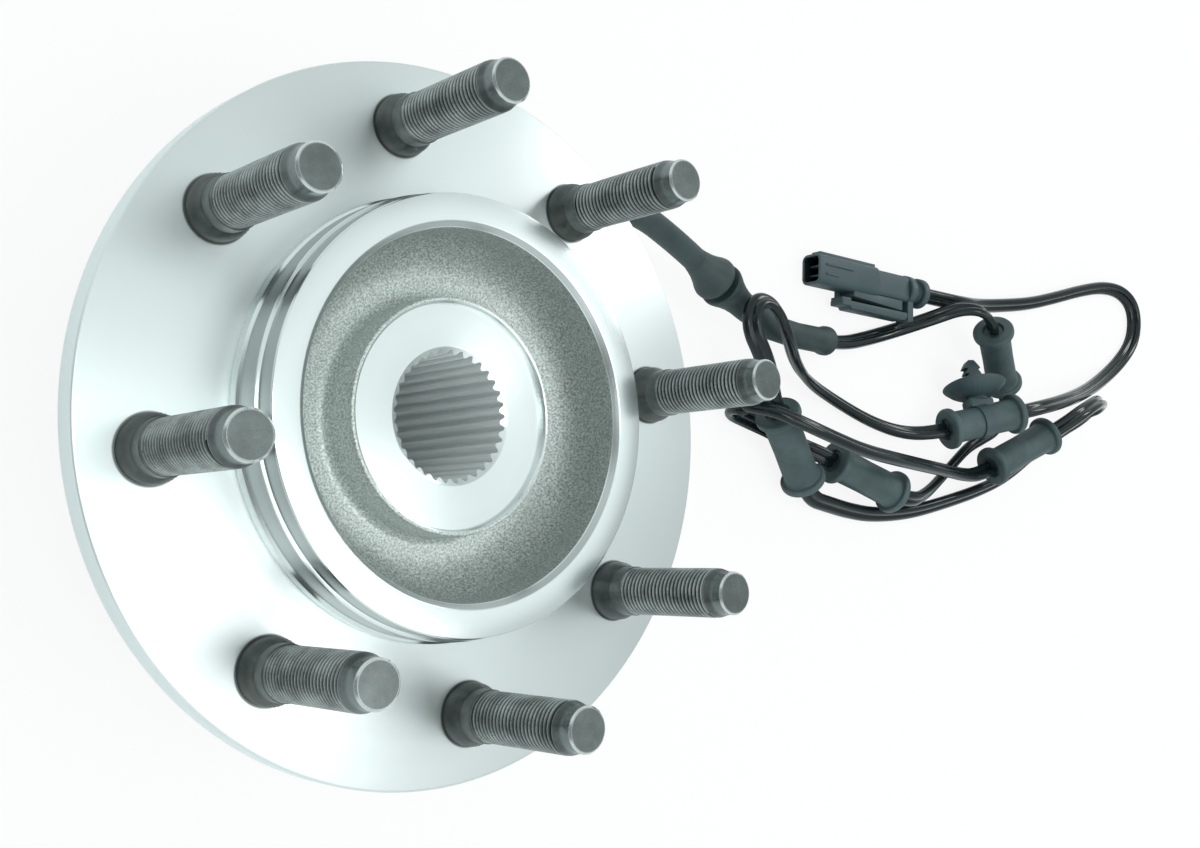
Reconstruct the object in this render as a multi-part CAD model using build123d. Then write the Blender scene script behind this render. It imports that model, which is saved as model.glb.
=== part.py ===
from build123d import *

import os
from math import cos, pi, radians, sin, tan

# Wheel hub bearing unit of a heavy pickup truck, lying on the floor with its studs up.
# Z is the hub axis, pointing to the wheel. Z = 0 is the inboard end of the outer ring.
# All lengths are in millimetres and all angles in degrees.

# Wheel flange
flange_radius = 101.0
rim_thickness = 8.5
web_thickness = 11.0
rim_step_run = 2.0
rim_chamfer = 0.8

# Wheel pilot and brake rotor pilot
wheel_pilot_radius = 60.16
wheel_pilot_top = 19.3
wheel_pilot_bottom = 12.5
rotor_pilot_radius = 61.1
rotor_pilot_bottom = 4.1
pilot_base_radius = 61.9
pilot_step = 0.35
pilot_mouth_radius = 52.4
pilot_bore_radius = 50.8
recess_depth = 3.0
recess_fillet = 12.5

# Boss that carries the axle nut
boss_radius = 32.9
boss_top = 10.5
boss_lip = 1.7
boss_lip_fillet = 0.6
boss_sink = 2.0
boss_foot_fillet = 3.0

# Axle spline
spline_teeth = 33
spline_root_radius = 18.5
spline_tip_radius = 17.25
spline_lead = 2.0
spline_root_share = 0.12
spline_mouth_share = 0.3

# Wheel studs
stud_count = 8
stud_edge_distance = 18.45
stud_thread_radius = 7.0
stud_thread_end = 45.4
stud_neck_radius = 7.3
stud_neck_end = 10.9
stud_collar_radius = 8.65
stud_collar_end = 3.6
stud_cone_length = 2.8
stud_point_radius = 6.05
stud_point_chamfer = 2.6
stud_length = 51.4
stud_tip_chamfer = 0.5
stud_head_radius = 11.5
stud_head_thickness = 4.5
stud_head_clearance = 0.75

# Hub spindle and inner rings
spindle_radius = 33.0
rolled_end_radius = 41.0
rolled_end_thickness = 3.5
rolled_end_height = 2.0
rolled_end_fillet = 2.5
shoulder_width = 4.5
shoulder_fillet = 2.5
cone_width = 25.5
cone_rib_radius = 46.5
cone_small_rib_radius = 41.8
cone_edge_chamfer = 0.8

# Taper rollers
roller_count = 22
roller_length = 15.0
roller_large_radius = 4.6
roller_small_radius = 4.0
roller_tilt = 13.0
roller_pitch_radius = 46.0
roller_to_cone_face = 12.0
roller_clearance = 0.15

# Roller cages
cage_thickness = 1.6
cage_offset = 0.6
cage_overhang = 1.7
cage_pocket_clearance = 0.3
cage_flange_clearance = 0.7

# Tone ring, which spaces the two inner rings
spacer_width = 14.0
tone_ring_body_radius = 40.0
tone_ring_tooth_radius = 44.5
tone_ring_tooth_width = 8.0
tone_ring_teeth = 48
tone_ring_tooth_share = 0.44
tone_ring_gap_share = 0.4

# Outer ring
barrel_radius = 60.0
barrel_to_flange_gap = 2.0
spigot_radius = 59.0
spigot_length = 12.0
knuckle_flange_thickness = 15.0
knuckle_flange_radius = 65.0
knuckle_ear_radius = 14.0
knuckle_ear_fillet = 5.0
knuckle_bolt_circle_radius = 70.0
knuckle_bolt_count = 4
knuckle_bolt_first_angle = 45.0
knuckle_thread_radius = 6.2
seal_seat_height = 7.5
seal_seat_depth = 5.4
ring_edge_chamfer = 0.8

# Seals
seal_wall = 1.0
seal_leg_width = 4.0
seal_lip_clearance = 0.6
slinger_wall = 1.0
slinger_leg_start = 3.0
slinger_to_case_gap = 0.5
slinger_start = 0.4

# Wheel speed sensor
sensor_bore_radius = 8.0
sensor_nose_radius = 7.9
sensor_gap = 0.8
sensor_boss_height = 66.0
sensor_boss_left = 26.0
sensor_boss_right = 13.0
sensor_boss_width = 23.0
sensor_plate_thickness = 4.0
sensor_plate_radius = 11.0
sensor_plate_ear_radius = 7.0
sensor_head_radius = 9.5
sensor_head_height = 10.0
sensor_head_fillet = 2.0
sensor_exit_radius = 5.5
sensor_exit_reach = 20.0
sensor_ring_radius = 0.7
sensor_ring_depth = 5.0
sensor_screw_radius = 3.0
sensor_screw_offset = 17.0
sensor_screw_floor = 56.0
sensor_screw_head_radius = 5.0
sensor_screw_head_height = 5.0
sensor_screw_socket_radius = 2.2
sensor_screw_socket_depth = 3.0

# Lead: sleeve, boot, cable and grommets
sleeve_radius = 5.0
cable_radius = 3.6
bend_share = 0.45
boot_start = Vector(169.7, 52.0, 29.0)
boot_waist = Vector(205.6, 31.5, 21.0)
boot_end = Vector(268.1, 16.6, 9.5)
boot_lip_radius = 5.3
boot_flare_start = 10.0
boot_flare_radius = 6.8
boot_collar_radius = 8.8
boot_collar_start = 14.5
boot_collar_end = 21.5
boot_groove_radius = 6.2
boot_groove_start = 17.0
boot_groove_end = 18.6
boot_taper_end = 34.0
boot_tube_radius = 5.0
boot_end_flange_radius = 6.0
boot_end_flange_width = 3.5
grommet_body_radius = 7.4
grommet_flange_radius = 10.0
grommet_flange_thickness = 3.6
grommet_flange_spacing = 38.0
grommet_edge_fillet = 0.8
grommet_floor_gap = 0.2

# Clip on the last grommet
strap_width = 6.0
strap_thickness = 1.0
clip_direction = Vector(0.25, 0.93, -0.27).normalized()
clip_cup_radius = 15.5
clip_cup_bottom = 12.5
clip_cup_rim = 18.5
clip_cup_wall = 1.2
clip_block_width = 9.0
clip_block_length = 13.0
clip_stem_radius = 3.0
clip_stem_flare = 1.0
clip_fin_radius = 4.4
clip_fin_pitch = 3.0
clip_fin_drop = 2.2
clip_fins = 3
clip_nose_length = 2.0
clip_tip = 32.0

# Connector
connector_mouth = Vector(267.7, 49.8, 6.3)
connector_rear = Vector(343.0, 35.0, 11.0)
housing_length = 62.0
housing_width = 14.0
housing_height = 11.5
housing_corner = 2.5
housing_wall = 1.3
shroud_length = 40.0
shroud_step = 0.9
socket_depth = 24.0
rail_start = 3.0
rail_width = 5.5
rail_height = 1.6
rib_width = 1.0
rib_height = 0.6
rib_spacing = 4.4
shelf_start = 27.0
shelf_length = 20.0
shelf_height = 2.2
pin_radius = 0.8
pin_spacing = 5.0
pin_recess = 6.0
neck_radius = 5.4
neck_length = 5.0
rear_cap_radius = 7.2
rear_cap_thickness = 4.0
rear_cap_exit_radius = 4.8
rear_cap_exit_width = 1.0
latch_gap = 4.6
latch_thickness = 3.6
latch_width = 8.0
latch_tip = 17.0
latch_hinge_gap = 0.3
latch_hook_length = 6.0
latch_hook_height = 1.4
yoke_thickness = 4.0

# Heights that follow from the stack on the spindle, and the flange that ends it
inboard_cone_bottom = rolled_end_height + rolled_end_thickness
inboard_cone_top = inboard_cone_bottom + cone_width
outboard_cone_bottom = inboard_cone_top + spacer_width
outboard_cone_top = outboard_cone_bottom + cone_width
spacer_middle = inboard_cone_top + spacer_width / 2
row_height = outboard_cone_top - roller_to_cone_face
middle = Plane.XY.offset(spacer_middle)
web_back_height = outboard_cone_top + shoulder_width
flange_face_height = web_back_height + web_thickness
rim_back_height = flange_face_height - rim_thickness
barrel_length = web_back_height - barrel_to_flange_gap
stud_circle_radius = flange_radius - stud_edge_distance
rim_step_radius = stud_circle_radius - stud_head_radius - stud_head_clearance

# Heights and radii on the boss and in the recess
recess_height = flange_face_height - recess_depth
boss_top_height = flange_face_height + boss_top
nut_seat_height = boss_top_height - boss_sink
boss_face_radius = boss_radius - boss_lip

# Seats of the two seals, on the shoulders of their bores, and the seals' own radii
seal_seat_radius = cone_rib_radius + seal_seat_height
seal_leg_radius = seal_seat_radius - seal_leg_width
slinger_edge_radius = seal_seat_radius - seal_wall - slinger_to_case_gap
outboard_seal_seat = barrel_length - seal_seat_depth
inboard_seal_seat = 2 * spacer_middle - outboard_seal_seat


def turned(points, rounds=()):
    face = make_face(Polyline(*points, close=True))
    for corner, radius in rounds:
        face = fillet(face.vertices().sort_by_distance(corner)[0], radius)
    return revolve(Plane.XZ * face, Axis.Z)


def node(name, *solids):
    shape = solids[0] if len(solids) == 1 else Compound(children=list(solids))
    export_step(shape, os.path.join("parts", name + ".step"))


def toothed(teeth, tip_radius, root_radius, tip_share, root_share):
    pitch = 2 * pi / teeth
    points = []
    for tooth in range(teeth):
        angle = tooth * pitch
        for radius, offset in (
            (root_radius, -0.5 + root_share / 2),
            (tip_radius, -tip_share / 2),
            (tip_radius, tip_share / 2),
            (root_radius, 0.5 - root_share / 2),
        ):
            place = angle + offset * pitch
            points.append((radius * cos(place), radius * sin(place)))
    return make_face(Polyline(*points, close=True))


# Roller row: a point at "along" on the roller's axis and "out" from it, as radius and height

tilt = radians(roller_tilt)
half_roller = roller_length / 2


def beside(along, out):
    radius = roller_pitch_radius + along * sin(tilt) + out * cos(tilt)
    return radius, row_height + along * cos(tilt) - out * sin(tilt)


def radius_at(start, end, height):
    share = (height - start[1]) / (end[1] - start[1])
    return start[0] + share * (end[0] - start[0])


def outwards(start, radius):
    step = (radius - start[0]) / cos(tilt)
    return radius, start[1] - step * sin(tilt)


cup_small = beside(-half_roller, roller_small_radius + roller_clearance)
cup_large = beside(half_roller, roller_large_radius + roller_clearance)
roller_slope = (roller_large_radius - roller_small_radius) / roller_length
rib_start = half_roller + roller_clearance
cone_small = beside(-rib_start, roller_clearance * (roller_slope - 1) - roller_small_radius)
cone_large = beside(rib_start, -roller_clearance * (roller_slope + 1) - roller_large_radius)
race_end_height = beside(-half_roller - cage_overhang, 0)[1]
race_end_radius = radius_at(cup_small, cup_large, race_end_height)


def make_wheel_hub():
    rim_edge = flange_radius
    points = [
        (spline_tip_radius + spline_lead, rolled_end_height),
        (rolled_end_radius, rolled_end_height),
        (rolled_end_radius, inboard_cone_bottom),
        (spindle_radius, inboard_cone_bottom),
        (spindle_radius, outboard_cone_top),
        (cone_rib_radius, outboard_cone_top),
        (cone_rib_radius, web_back_height),
        (rim_step_radius - rim_step_run, web_back_height),
        (rim_step_radius, rim_back_height),
        (rim_edge - rim_chamfer, rim_back_height),
        (rim_edge, rim_back_height + rim_chamfer),
        (rim_edge, flange_face_height - rim_chamfer),
        (rim_edge - rim_chamfer, flange_face_height),
        (pilot_base_radius, flange_face_height),
        (pilot_base_radius, flange_face_height + rotor_pilot_bottom - pilot_step),
        (rotor_pilot_radius, flange_face_height + rotor_pilot_bottom + pilot_step),
        (rotor_pilot_radius, flange_face_height + wheel_pilot_bottom - pilot_step),
        (wheel_pilot_radius, flange_face_height + wheel_pilot_bottom),
        (wheel_pilot_radius, flange_face_height + wheel_pilot_top - pilot_step),
        (wheel_pilot_radius - pilot_step, flange_face_height + wheel_pilot_top),
        (pilot_mouth_radius, flange_face_height + wheel_pilot_top),
        (pilot_bore_radius, flange_face_height + wheel_pilot_top - pilot_mouth_radius + pilot_bore_radius),
        (pilot_bore_radius, recess_height),
        (boss_radius, recess_height),
        (boss_radius, boss_top_height),
        (boss_face_radius, boss_top_height),
        (boss_face_radius, nut_seat_height),
        (spline_root_radius + spline_lead, nut_seat_height),
        (spline_tip_radius, nut_seat_height - spline_root_radius - spline_lead + spline_tip_radius),
        (spline_tip_radius, rolled_end_height + spline_lead),
    ]
    rounds = [
        ((rolled_end_radius, rolled_end_height), rolled_end_fillet),
        ((cone_rib_radius, web_back_height), shoulder_fillet),
        ((pilot_bore_radius, recess_height), recess_fillet),
        ((boss_radius, recess_height), boss_foot_fillet),
        ((boss_radius, boss_top_height), boss_lip_fillet),
    ]
    hub = turned(points, rounds)
    spline = toothed(
        spline_teeth,
        spline_root_radius,
        spline_tip_radius,
        spline_root_share,
        spline_mouth_share,
    )
    hub -= extrude(spline, nut_seat_height + boss_sink)
    hole = Cylinder(stud_collar_radius, web_thickness, align=(Align.CENTER, Align.CENTER, Align.MAX))
    holes = PolarLocations(stud_circle_radius, stud_count)
    return hub - holes * (Pos(0, 0, flange_face_height) * hole)


def make_studs():
    face = flange_face_height
    stud = turned([
        (0, rim_back_height - stud_head_thickness),
        (stud_head_radius, rim_back_height - stud_head_thickness),
        (stud_head_radius, rim_back_height),
        (stud_collar_radius, rim_back_height),
        (stud_collar_radius, face + stud_collar_end),
        (stud_neck_radius, face + stud_collar_end + stud_cone_length),
        (stud_neck_radius, face + stud_neck_end),
        (stud_thread_radius, face + stud_neck_end),
        (stud_thread_radius, face + stud_thread_end),
        (stud_point_radius, face + stud_thread_end + stud_point_chamfer),
        (stud_point_radius, face + stud_length - stud_tip_chamfer),
        (stud_point_radius - stud_tip_chamfer, face + stud_length),
        (0, face + stud_length),
    ], [((stud_head_radius, rim_back_height - stud_head_thickness), stud_tip_chamfer)])
    return [place * stud for place in PolarLocations(stud_circle_radius, stud_count)]


def make_cone():
    chamfer_top = outboard_cone_top - cone_edge_chamfer
    small_rib = outwards(cone_small, cone_small_rib_radius)
    large_rib = outwards(cone_large, cone_rib_radius)
    return turned([
        (spindle_radius, outboard_cone_bottom),
        (cone_small_rib_radius - cone_edge_chamfer, outboard_cone_bottom),
        (cone_small_rib_radius, outboard_cone_bottom + cone_edge_chamfer),
        small_rib,
        cone_small,
        cone_large,
        large_rib,
        (cone_rib_radius, chamfer_top),
        (cone_rib_radius - cone_edge_chamfer, outboard_cone_top),
        (spindle_radius, outboard_cone_top),
    ])


def make_rollers(growth=0.0):
    axis = Plane((roller_pitch_radius, 0, row_height), z_dir=(sin(tilt), 0, cos(tilt)))
    small = roller_small_radius + growth
    large = roller_large_radius + growth
    roller = axis.location * Cone(small, large, roller_length + 2 * growth)
    return [Rot(0, 0, 360 * step / roller_count) * roller for step in range(roller_count)]


def make_cage():
    reach = half_roller + cage_overhang
    inside = cage_offset - cage_thickness / 2
    outside = cage_offset + cage_thickness / 2
    lip_radius = cone_small_rib_radius + cage_flange_clearance
    foot = beside(-reach, inside)
    heel = beside(-reach, outside)
    cage = turned([
        heel,
        beside(reach, outside),
        beside(reach, inside),
        foot,
        (lip_radius, foot[1]),
        (lip_radius, foot[1] - cage_thickness),
        (heel[0], foot[1] - cage_thickness),
    ])
    return cage - make_rollers(cage_pocket_clearance)


def make_tone_ring():
    blank = turned([
        (spindle_radius, inboard_cone_top),
        (tone_ring_body_radius, inboard_cone_top),
        (tone_ring_body_radius, outboard_cone_bottom),
        (spindle_radius, outboard_cone_bottom),
    ])
    star = toothed(
        tone_ring_teeth,
        tone_ring_tooth_radius,
        tone_ring_body_radius,
        tone_ring_tooth_share,
        tone_ring_gap_share,
    )
    star -= Circle((spindle_radius + tone_ring_body_radius) / 2)
    teeth = extrude(star, tone_ring_tooth_width / 2, both=True)
    return blank + Pos(0, 0, spacer_middle) * teeth


def make_outer_ring():
    flange_top = spigot_length + knuckle_flange_thickness
    ring = turned([
        (0, 0),
        (spigot_radius - ring_edge_chamfer, 0),
        (spigot_radius, ring_edge_chamfer),
        (spigot_radius, spigot_length),
        (barrel_radius, spigot_length),
        (barrel_radius, barrel_length - ring_edge_chamfer),
        (barrel_radius - ring_edge_chamfer, barrel_length),
        (0, barrel_length),
    ])
    ears = PolarLocations(knuckle_bolt_circle_radius, knuckle_bolt_count, knuckle_bolt_first_angle)
    web = Rectangle(knuckle_bolt_circle_radius, 2 * knuckle_ear_radius, align=(Align.MAX, Align.CENTER))
    outline = Circle(knuckle_flange_radius) + ears * (Circle(knuckle_ear_radius) + web)
    roots = [v for v in outline.vertices() if (v.X ** 2 + v.Y ** 2) ** 0.5 < knuckle_flange_radius + 0.01]
    outline = fillet(roots, knuckle_ear_fillet)
    ring += Pos(0, 0, spigot_length) * extrude(outline, knuckle_flange_thickness)
    boss = Box(
        sensor_boss_left + sensor_boss_right,
        sensor_boss_height,
        sensor_boss_width,
        align=(Align.MIN, Align.MIN, Align.MIN),
    )
    boss = fillet(boss.edges().filter_by(Axis.Y).group_by(Axis.Z)[-1], knuckle_ear_fillet / 2)
    ring += Pos(-sensor_boss_left, 0, flange_top) * boss
    cavity = turned([
        (0, 0),
        (seal_seat_radius, 0),
        (seal_seat_radius, inboard_seal_seat),
        (radius_at(cup_small, cup_large, outboard_seal_seat), inboard_seal_seat),
        (race_end_radius, 2 * spacer_middle - race_end_height),
        (race_end_radius, race_end_height),
        (radius_at(cup_small, cup_large, outboard_seal_seat), outboard_seal_seat),
        (seal_seat_radius, outboard_seal_seat),
        (seal_seat_radius, barrel_length),
        (0, barrel_length),
    ])
    ring -= cavity
    ring -= ears * (Pos(0, 0, spigot_length) * Cylinder(knuckle_thread_radius, 3 * knuckle_flange_thickness))
    into = Plane((0, 0, spacer_middle), z_dir=(0, 1, 0))
    ring -= into * extrude(Circle(sensor_bore_radius), sensor_boss_height)
    screw = Plane((-sensor_screw_offset, sensor_screw_floor, spacer_middle), z_dir=(0, 1, 0))
    return ring - screw * extrude(Circle(sensor_screw_radius), sensor_boss_height - sensor_screw_floor)


def make_seal_case():
    seat = outboard_seal_seat
    return turned([
        (seal_leg_radius, seat),
        (seal_seat_radius, seat),
        (seal_seat_radius, barrel_length),
        (seal_seat_radius - seal_wall, barrel_length),
        (seal_seat_radius - seal_wall, seat + seal_wall),
        (seal_leg_radius, seat + seal_wall),
    ])


def make_seal_lip():
    seat = outboard_seal_seat
    edge = cone_rib_radius + slinger_wall + seal_lip_clearance
    tip = seat + slinger_leg_start - seal_lip_clearance
    return turned([
        (edge, seat),
        (seal_leg_radius, seat),
        (seal_leg_radius, seat + seal_wall),
        (seal_leg_radius + seal_wall, tip),
        (seal_leg_radius, tip),
        (edge + seal_wall, seat + seal_wall),
        (edge, seat + seal_wall),
    ])


def make_slinger():
    seat = outboard_seal_seat
    outer = cone_rib_radius + slinger_wall
    leg_top = seat + slinger_leg_start + slinger_wall
    return turned([
        (cone_rib_radius, seat + slinger_start),
        (outer, seat + slinger_start),
        (outer, seat + slinger_leg_start),
        (slinger_edge_radius, seat + slinger_leg_start),
        (slinger_edge_radius, leg_top),
        (cone_rib_radius, leg_top),
    ])


# Speed sensor, built along its own axis: height is the distance from the hub axis

sensor_seat = Plane((0, 0, spacer_middle), x_dir=(-1, 0, 0), z_dir=(0, 1, 0))
plate_top = sensor_boss_height + sensor_plate_thickness
head_top = plate_top + sensor_head_height
ring_height = sensor_boss_height - sensor_ring_depth


def make_sensor():
    groove = sensor_bore_radius - 2 * sensor_ring_radius
    nose = turned([
        (0, tone_ring_tooth_radius + sensor_gap),
        (sensor_nose_radius, tone_ring_tooth_radius + sensor_gap),
        (sensor_nose_radius, ring_height - sensor_ring_radius),
        (groove, ring_height - sensor_ring_radius),
        (groove, ring_height + sensor_ring_radius),
        (sensor_nose_radius, ring_height + sensor_ring_radius),
        (sensor_nose_radius, sensor_boss_height),
        (sensor_head_radius, sensor_boss_height),
        (sensor_head_radius, head_top),
        (0, head_top),
    ], [((sensor_head_radius, head_top), sensor_head_fillet)])
    plate = make_hull(
        [
            *Circle(sensor_plate_radius).edges(),
            *(Pos(sensor_screw_offset, 0) * Circle(sensor_plate_ear_radius)).edges(),
        ]
    )
    plate = plate - Pos(sensor_screw_offset, 0) * Circle(sensor_screw_radius)
    body = nose + Pos(0, 0, sensor_boss_height) * extrude(plate, sensor_plate_thickness)
    exit_height = plate_top + sensor_head_height / 2
    outwards_on_x = Plane((0, 0, exit_height), z_dir=(-1, 0, 0))
    spout = outwards_on_x * extrude(Circle(sensor_exit_radius), sensor_exit_reach)
    return sensor_seat.location * (body + spout)


def make_sensor_ring():
    centre = sensor_bore_radius - sensor_ring_radius
    ring = Torus(centre, sensor_ring_radius)
    return sensor_seat.location * Pos(0, 0, ring_height) * ring


def make_sensor_screw():
    head_end = plate_top + sensor_screw_head_height
    screw = turned([
        (0, sensor_screw_floor),
        (sensor_screw_radius, sensor_screw_floor),
        (sensor_screw_radius, plate_top),
        (sensor_screw_head_radius, plate_top),
        (sensor_screw_head_radius, head_end),
        (0, head_end),
    ])
    socket = extrude(RegularPolygon(sensor_screw_socket_radius, 6), -sensor_screw_socket_depth)
    screw -= Pos(0, 0, head_end) * socket
    return sensor_seat.location * Pos(sensor_screw_offset, 0, 0) * screw


# Lead

collar_direction = (boot_waist - boot_start).normalized()
boot_route = [
    boot_start + collar_direction * boot_taper_end,
    boot_waist,
    Vector(218.4, 25.0, 18.5),
    Vector(238.8, 20.2, 14.0),
    boot_end,
]
boot_direction = (boot_route[-1] - boot_route[-2]).normalized()
sensor_exit = Vector(sensor_exit_reach, plate_top + sensor_head_height / 2, spacer_middle)
half_grommet = (grommet_flange_spacing + grommet_flange_thickness) / 2


def lying(x, y, heading, climb, lift=0.0):
    turn = radians(heading)
    rise = radians(climb)
    direction = Vector(cos(turn) * cos(rise), sin(turn) * cos(rise), sin(rise))
    height = grommet_flange_radius * cos(rise) + half_grommet * sin(rise) + grommet_floor_gap + lift
    return Plane((x, y, height), z_dir=direction)


# Each grommet lies with its back end on the floor, or on a cable, and its front end raised
grommet_places = [
    lying(392.0, 0.5, 133.7, 22.0),
    lying(280.0, -46.5, -28.0, 6.0),
    lying(398.0, -47.5, 17.5, 15.0, 4.0),
    lying(229.0, -28.0, 127.0, 15.0),
    lying(365.5, -29.5, 5.0, 21.6, 3.7),
]


def front(number, lead=0.0):
    place = grommet_places[number - 1]
    return place.origin + place.z_dir * (half_grommet + lead)


def back(number, lead=0.0):
    place = grommet_places[number - 1]
    return place.origin - place.z_dir * (half_grommet + lead)


connector_axis = (connector_rear - connector_mouth).normalized()

sleeve_route = [
    sensor_exit,
    sensor_exit + Vector(26, 0, 0),
    (92, 72.5, 37.5),
    (134, 63.5, 35.6),
    boot_start - collar_direction * 12,
    boot_start,
]
cable_routes = [
    [
        boot_end,
        boot_end + boot_direction * 14,
        (304, 12, 3.8),
        (328, 15.5, 3.8),
        (346, 18, 10),
        (358, 22, 23),
        front(1, 12),
        front(1),
    ],
    [
        back(1),
        back(1, 9),
        (412.5, -28.5, 3.9),
        (405, -36, 3.8),
        (391, -38, 3.8),
        (374, -39, 3.8),
        (356, -46, 3.8),
        (337, -54, 6),
        (321, -60, 14),
        front(2, 11),
        front(2),
    ],
    [
        back(2),
        back(2, 8),
        (245.5, -28, 5.5),
        (231, -20, 3.8),
        (217, -14, 3.8),
        (206, -10, 5.5),
        (200, -7.5, 12.5),
        (199, -8, 22.5),
        (204, -11, 31.5),
        (214, -17, 37.3),
        (232, -21, 38),
        (252, -29, 37),
        (275, -38, 35.5),
        (303, -47, 30),
        (330, -53, 21),
        (352, -57, 14),
        back(3, 9.5),
        back(3),
    ],
    [
        front(3),
        front(3, 12),
        (450, -31, 32),
        (474, -28, 29),
        (491, -29, 21),
        (496, -34, 11),
        (487, -39, 4.5),
        (468, -43, 3.8),
        (438, -51, 3.8),
        (408, -61, 3.8),
        (380, -65, 3.8),
        (350, -67, 3.8),
        (322, -68, 3.8),
        (294, -67, 3.8),
        (271, -64, 4),
        (257, -59, 6),
        back(4, 10),
        back(4),
    ],
    [
        front(4),
        front(4, 8),
        (206, 3, 28.5),
        (197, 12, 34.5),
        (190.5, 22, 36),
        (192.5, 31, 36),
        (200, 34.5, 35.5),
        (208, 30.5, 35.5),
        (214, 20, 34),
        (230, 9, 22),
        (252, 0, 9),
        (274, -11, 3.8),
        (300, -24, 3.8),
        (322, -31, 5),
        back(5, 9),
        back(5),
    ],
    [
        front(5),
        front(5, 14),
        (418, -24.5, 35),
        (446, -21.5, 27),
        (478, -17, 14),
        (508, -11, 5),
        (533, -3, 3.8),
        (552, 7, 3.8),
        (559, 18, 3.8),
        (553, 29, 3.8),
        (537, 34.5, 3.8),
        (508, 35, 3.8),
        (478, 32.5, 3.8),
        (450, 31.5, 3.8),
        (424, 33, 3.8),
        (398, 33.5, 5),
        (376, 32, 12),
        connector_rear + connector_axis * 14,
        connector_rear,
    ],
]


def make_cord(name, route, radius):
    places = [Vector(*point) for point in route]
    bends = []
    for before, here, after in zip(places, places[1:], places[2:]):
        turn = (here - before).get_angle(after - here)
        shorter = min((here - before).length, (after - here).length)
        bends.append(bend_share * shorter / tan(radians(turn) / 2))
    path = FilletPolyline(*places, radius=bends)
    cord = sweep(Plane(places[0], z_dir=places[1] - places[0]) * Circle(radius), path)
    share = cord.volume / (pi * radius ** 2 * path.length)
    print(f"{name}: {path.length:.0f} mm, volume {share:.4f}, radii", [round(bend, 1) for bend in bends])
    return cord


def make_boot():
    collar = turned([
        (0, 0),
        (boot_lip_radius, 0),
        (boot_flare_radius, boot_flare_start),
        (boot_collar_radius, boot_collar_start),
        (boot_collar_radius, boot_groove_start),
        (boot_groove_radius, boot_groove_start),
        (boot_groove_radius, boot_groove_end),
        (boot_collar_radius, boot_groove_end),
        (boot_collar_radius, boot_collar_end),
        (boot_tube_radius, boot_taper_end),
        (0, boot_taper_end),
    ])
    tube = make_cord("boot tube", boot_route, boot_tube_radius)
    below = (Align.CENTER, Align.CENTER, Align.MAX)
    flange = Cylinder(boot_end_flange_radius, boot_end_flange_width, align=below)
    collar = Plane(boot_start, z_dir=collar_direction).location * collar
    return collar + tube + Plane(boot_end, z_dir=boot_direction).location * flange


def make_grommet():
    face = half_grommet
    inner = half_grommet - grommet_flange_thickness
    rims = [(grommet_flange_radius, height) for height in (-face, -inner, inner, face)]
    return turned([
        (0, -face),
        (grommet_flange_radius, -face),
        (grommet_flange_radius, -inner),
        (grommet_body_radius, -inner),
        (grommet_body_radius, inner),
        (grommet_flange_radius, inner),
        (grommet_flange_radius, face),
        (0, face),
    ], [(rim, grommet_edge_fillet) for rim in rims])


def make_strap():
    outer = grommet_body_radius + strap_thickness
    band = Cylinder(outer, strap_width) - Cylinder(grommet_body_radius, strap_width)
    return grommet_places[-1].location * band


def make_clip():
    saddle = grommet_body_radius + strap_thickness
    cup = turned([
        (0, clip_cup_bottom),
        (clip_stem_radius + clip_stem_flare, clip_cup_bottom),
        (clip_cup_radius, clip_cup_rim - clip_cup_wall / 2),
        (clip_cup_radius, clip_cup_rim),
        (clip_stem_radius, clip_cup_bottom + clip_cup_wall),
        (0, clip_cup_bottom + clip_cup_wall),
    ])
    fins = []
    for step in range(clip_fins):
        top = clip_tip - clip_nose_length - step * clip_fin_pitch
        fins += [
            (clip_stem_radius, top),
            (clip_fin_radius, top - clip_fin_drop),
            (clip_stem_radius, top - clip_fin_drop),
        ]
    stem = turned([
        (0, clip_tip),
        (clip_stem_radius / 2, clip_tip),
        *fins,
        (clip_stem_radius, clip_cup_bottom),
        (0, clip_cup_bottom),
    ])
    block = Box(
        clip_block_length,
        clip_block_width,
        clip_cup_bottom,
        align=(Align.CENTER, Align.CENTER, Align.MIN),
    )
    seat = grommet_places[-1]
    clip = Plane(seat.origin, x_dir=seat.z_dir, z_dir=clip_direction).location * (cup + stem + block)
    return clip - seat.location * Cylinder(saddle, 2 * clip_cup_rim)


# Connector, built along its own axis from its mouth; X points to the latch side

connector_seat = Plane(connector_mouth, x_dir=(0, -1, 0), z_dir=connector_axis)
latch_inside = housing_width / 2 + latch_gap
latch_outside = latch_inside + latch_thickness
yoke_start = housing_length
cap_start = housing_length + neck_length
cap_end = (connector_rear - connector_mouth).length


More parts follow.
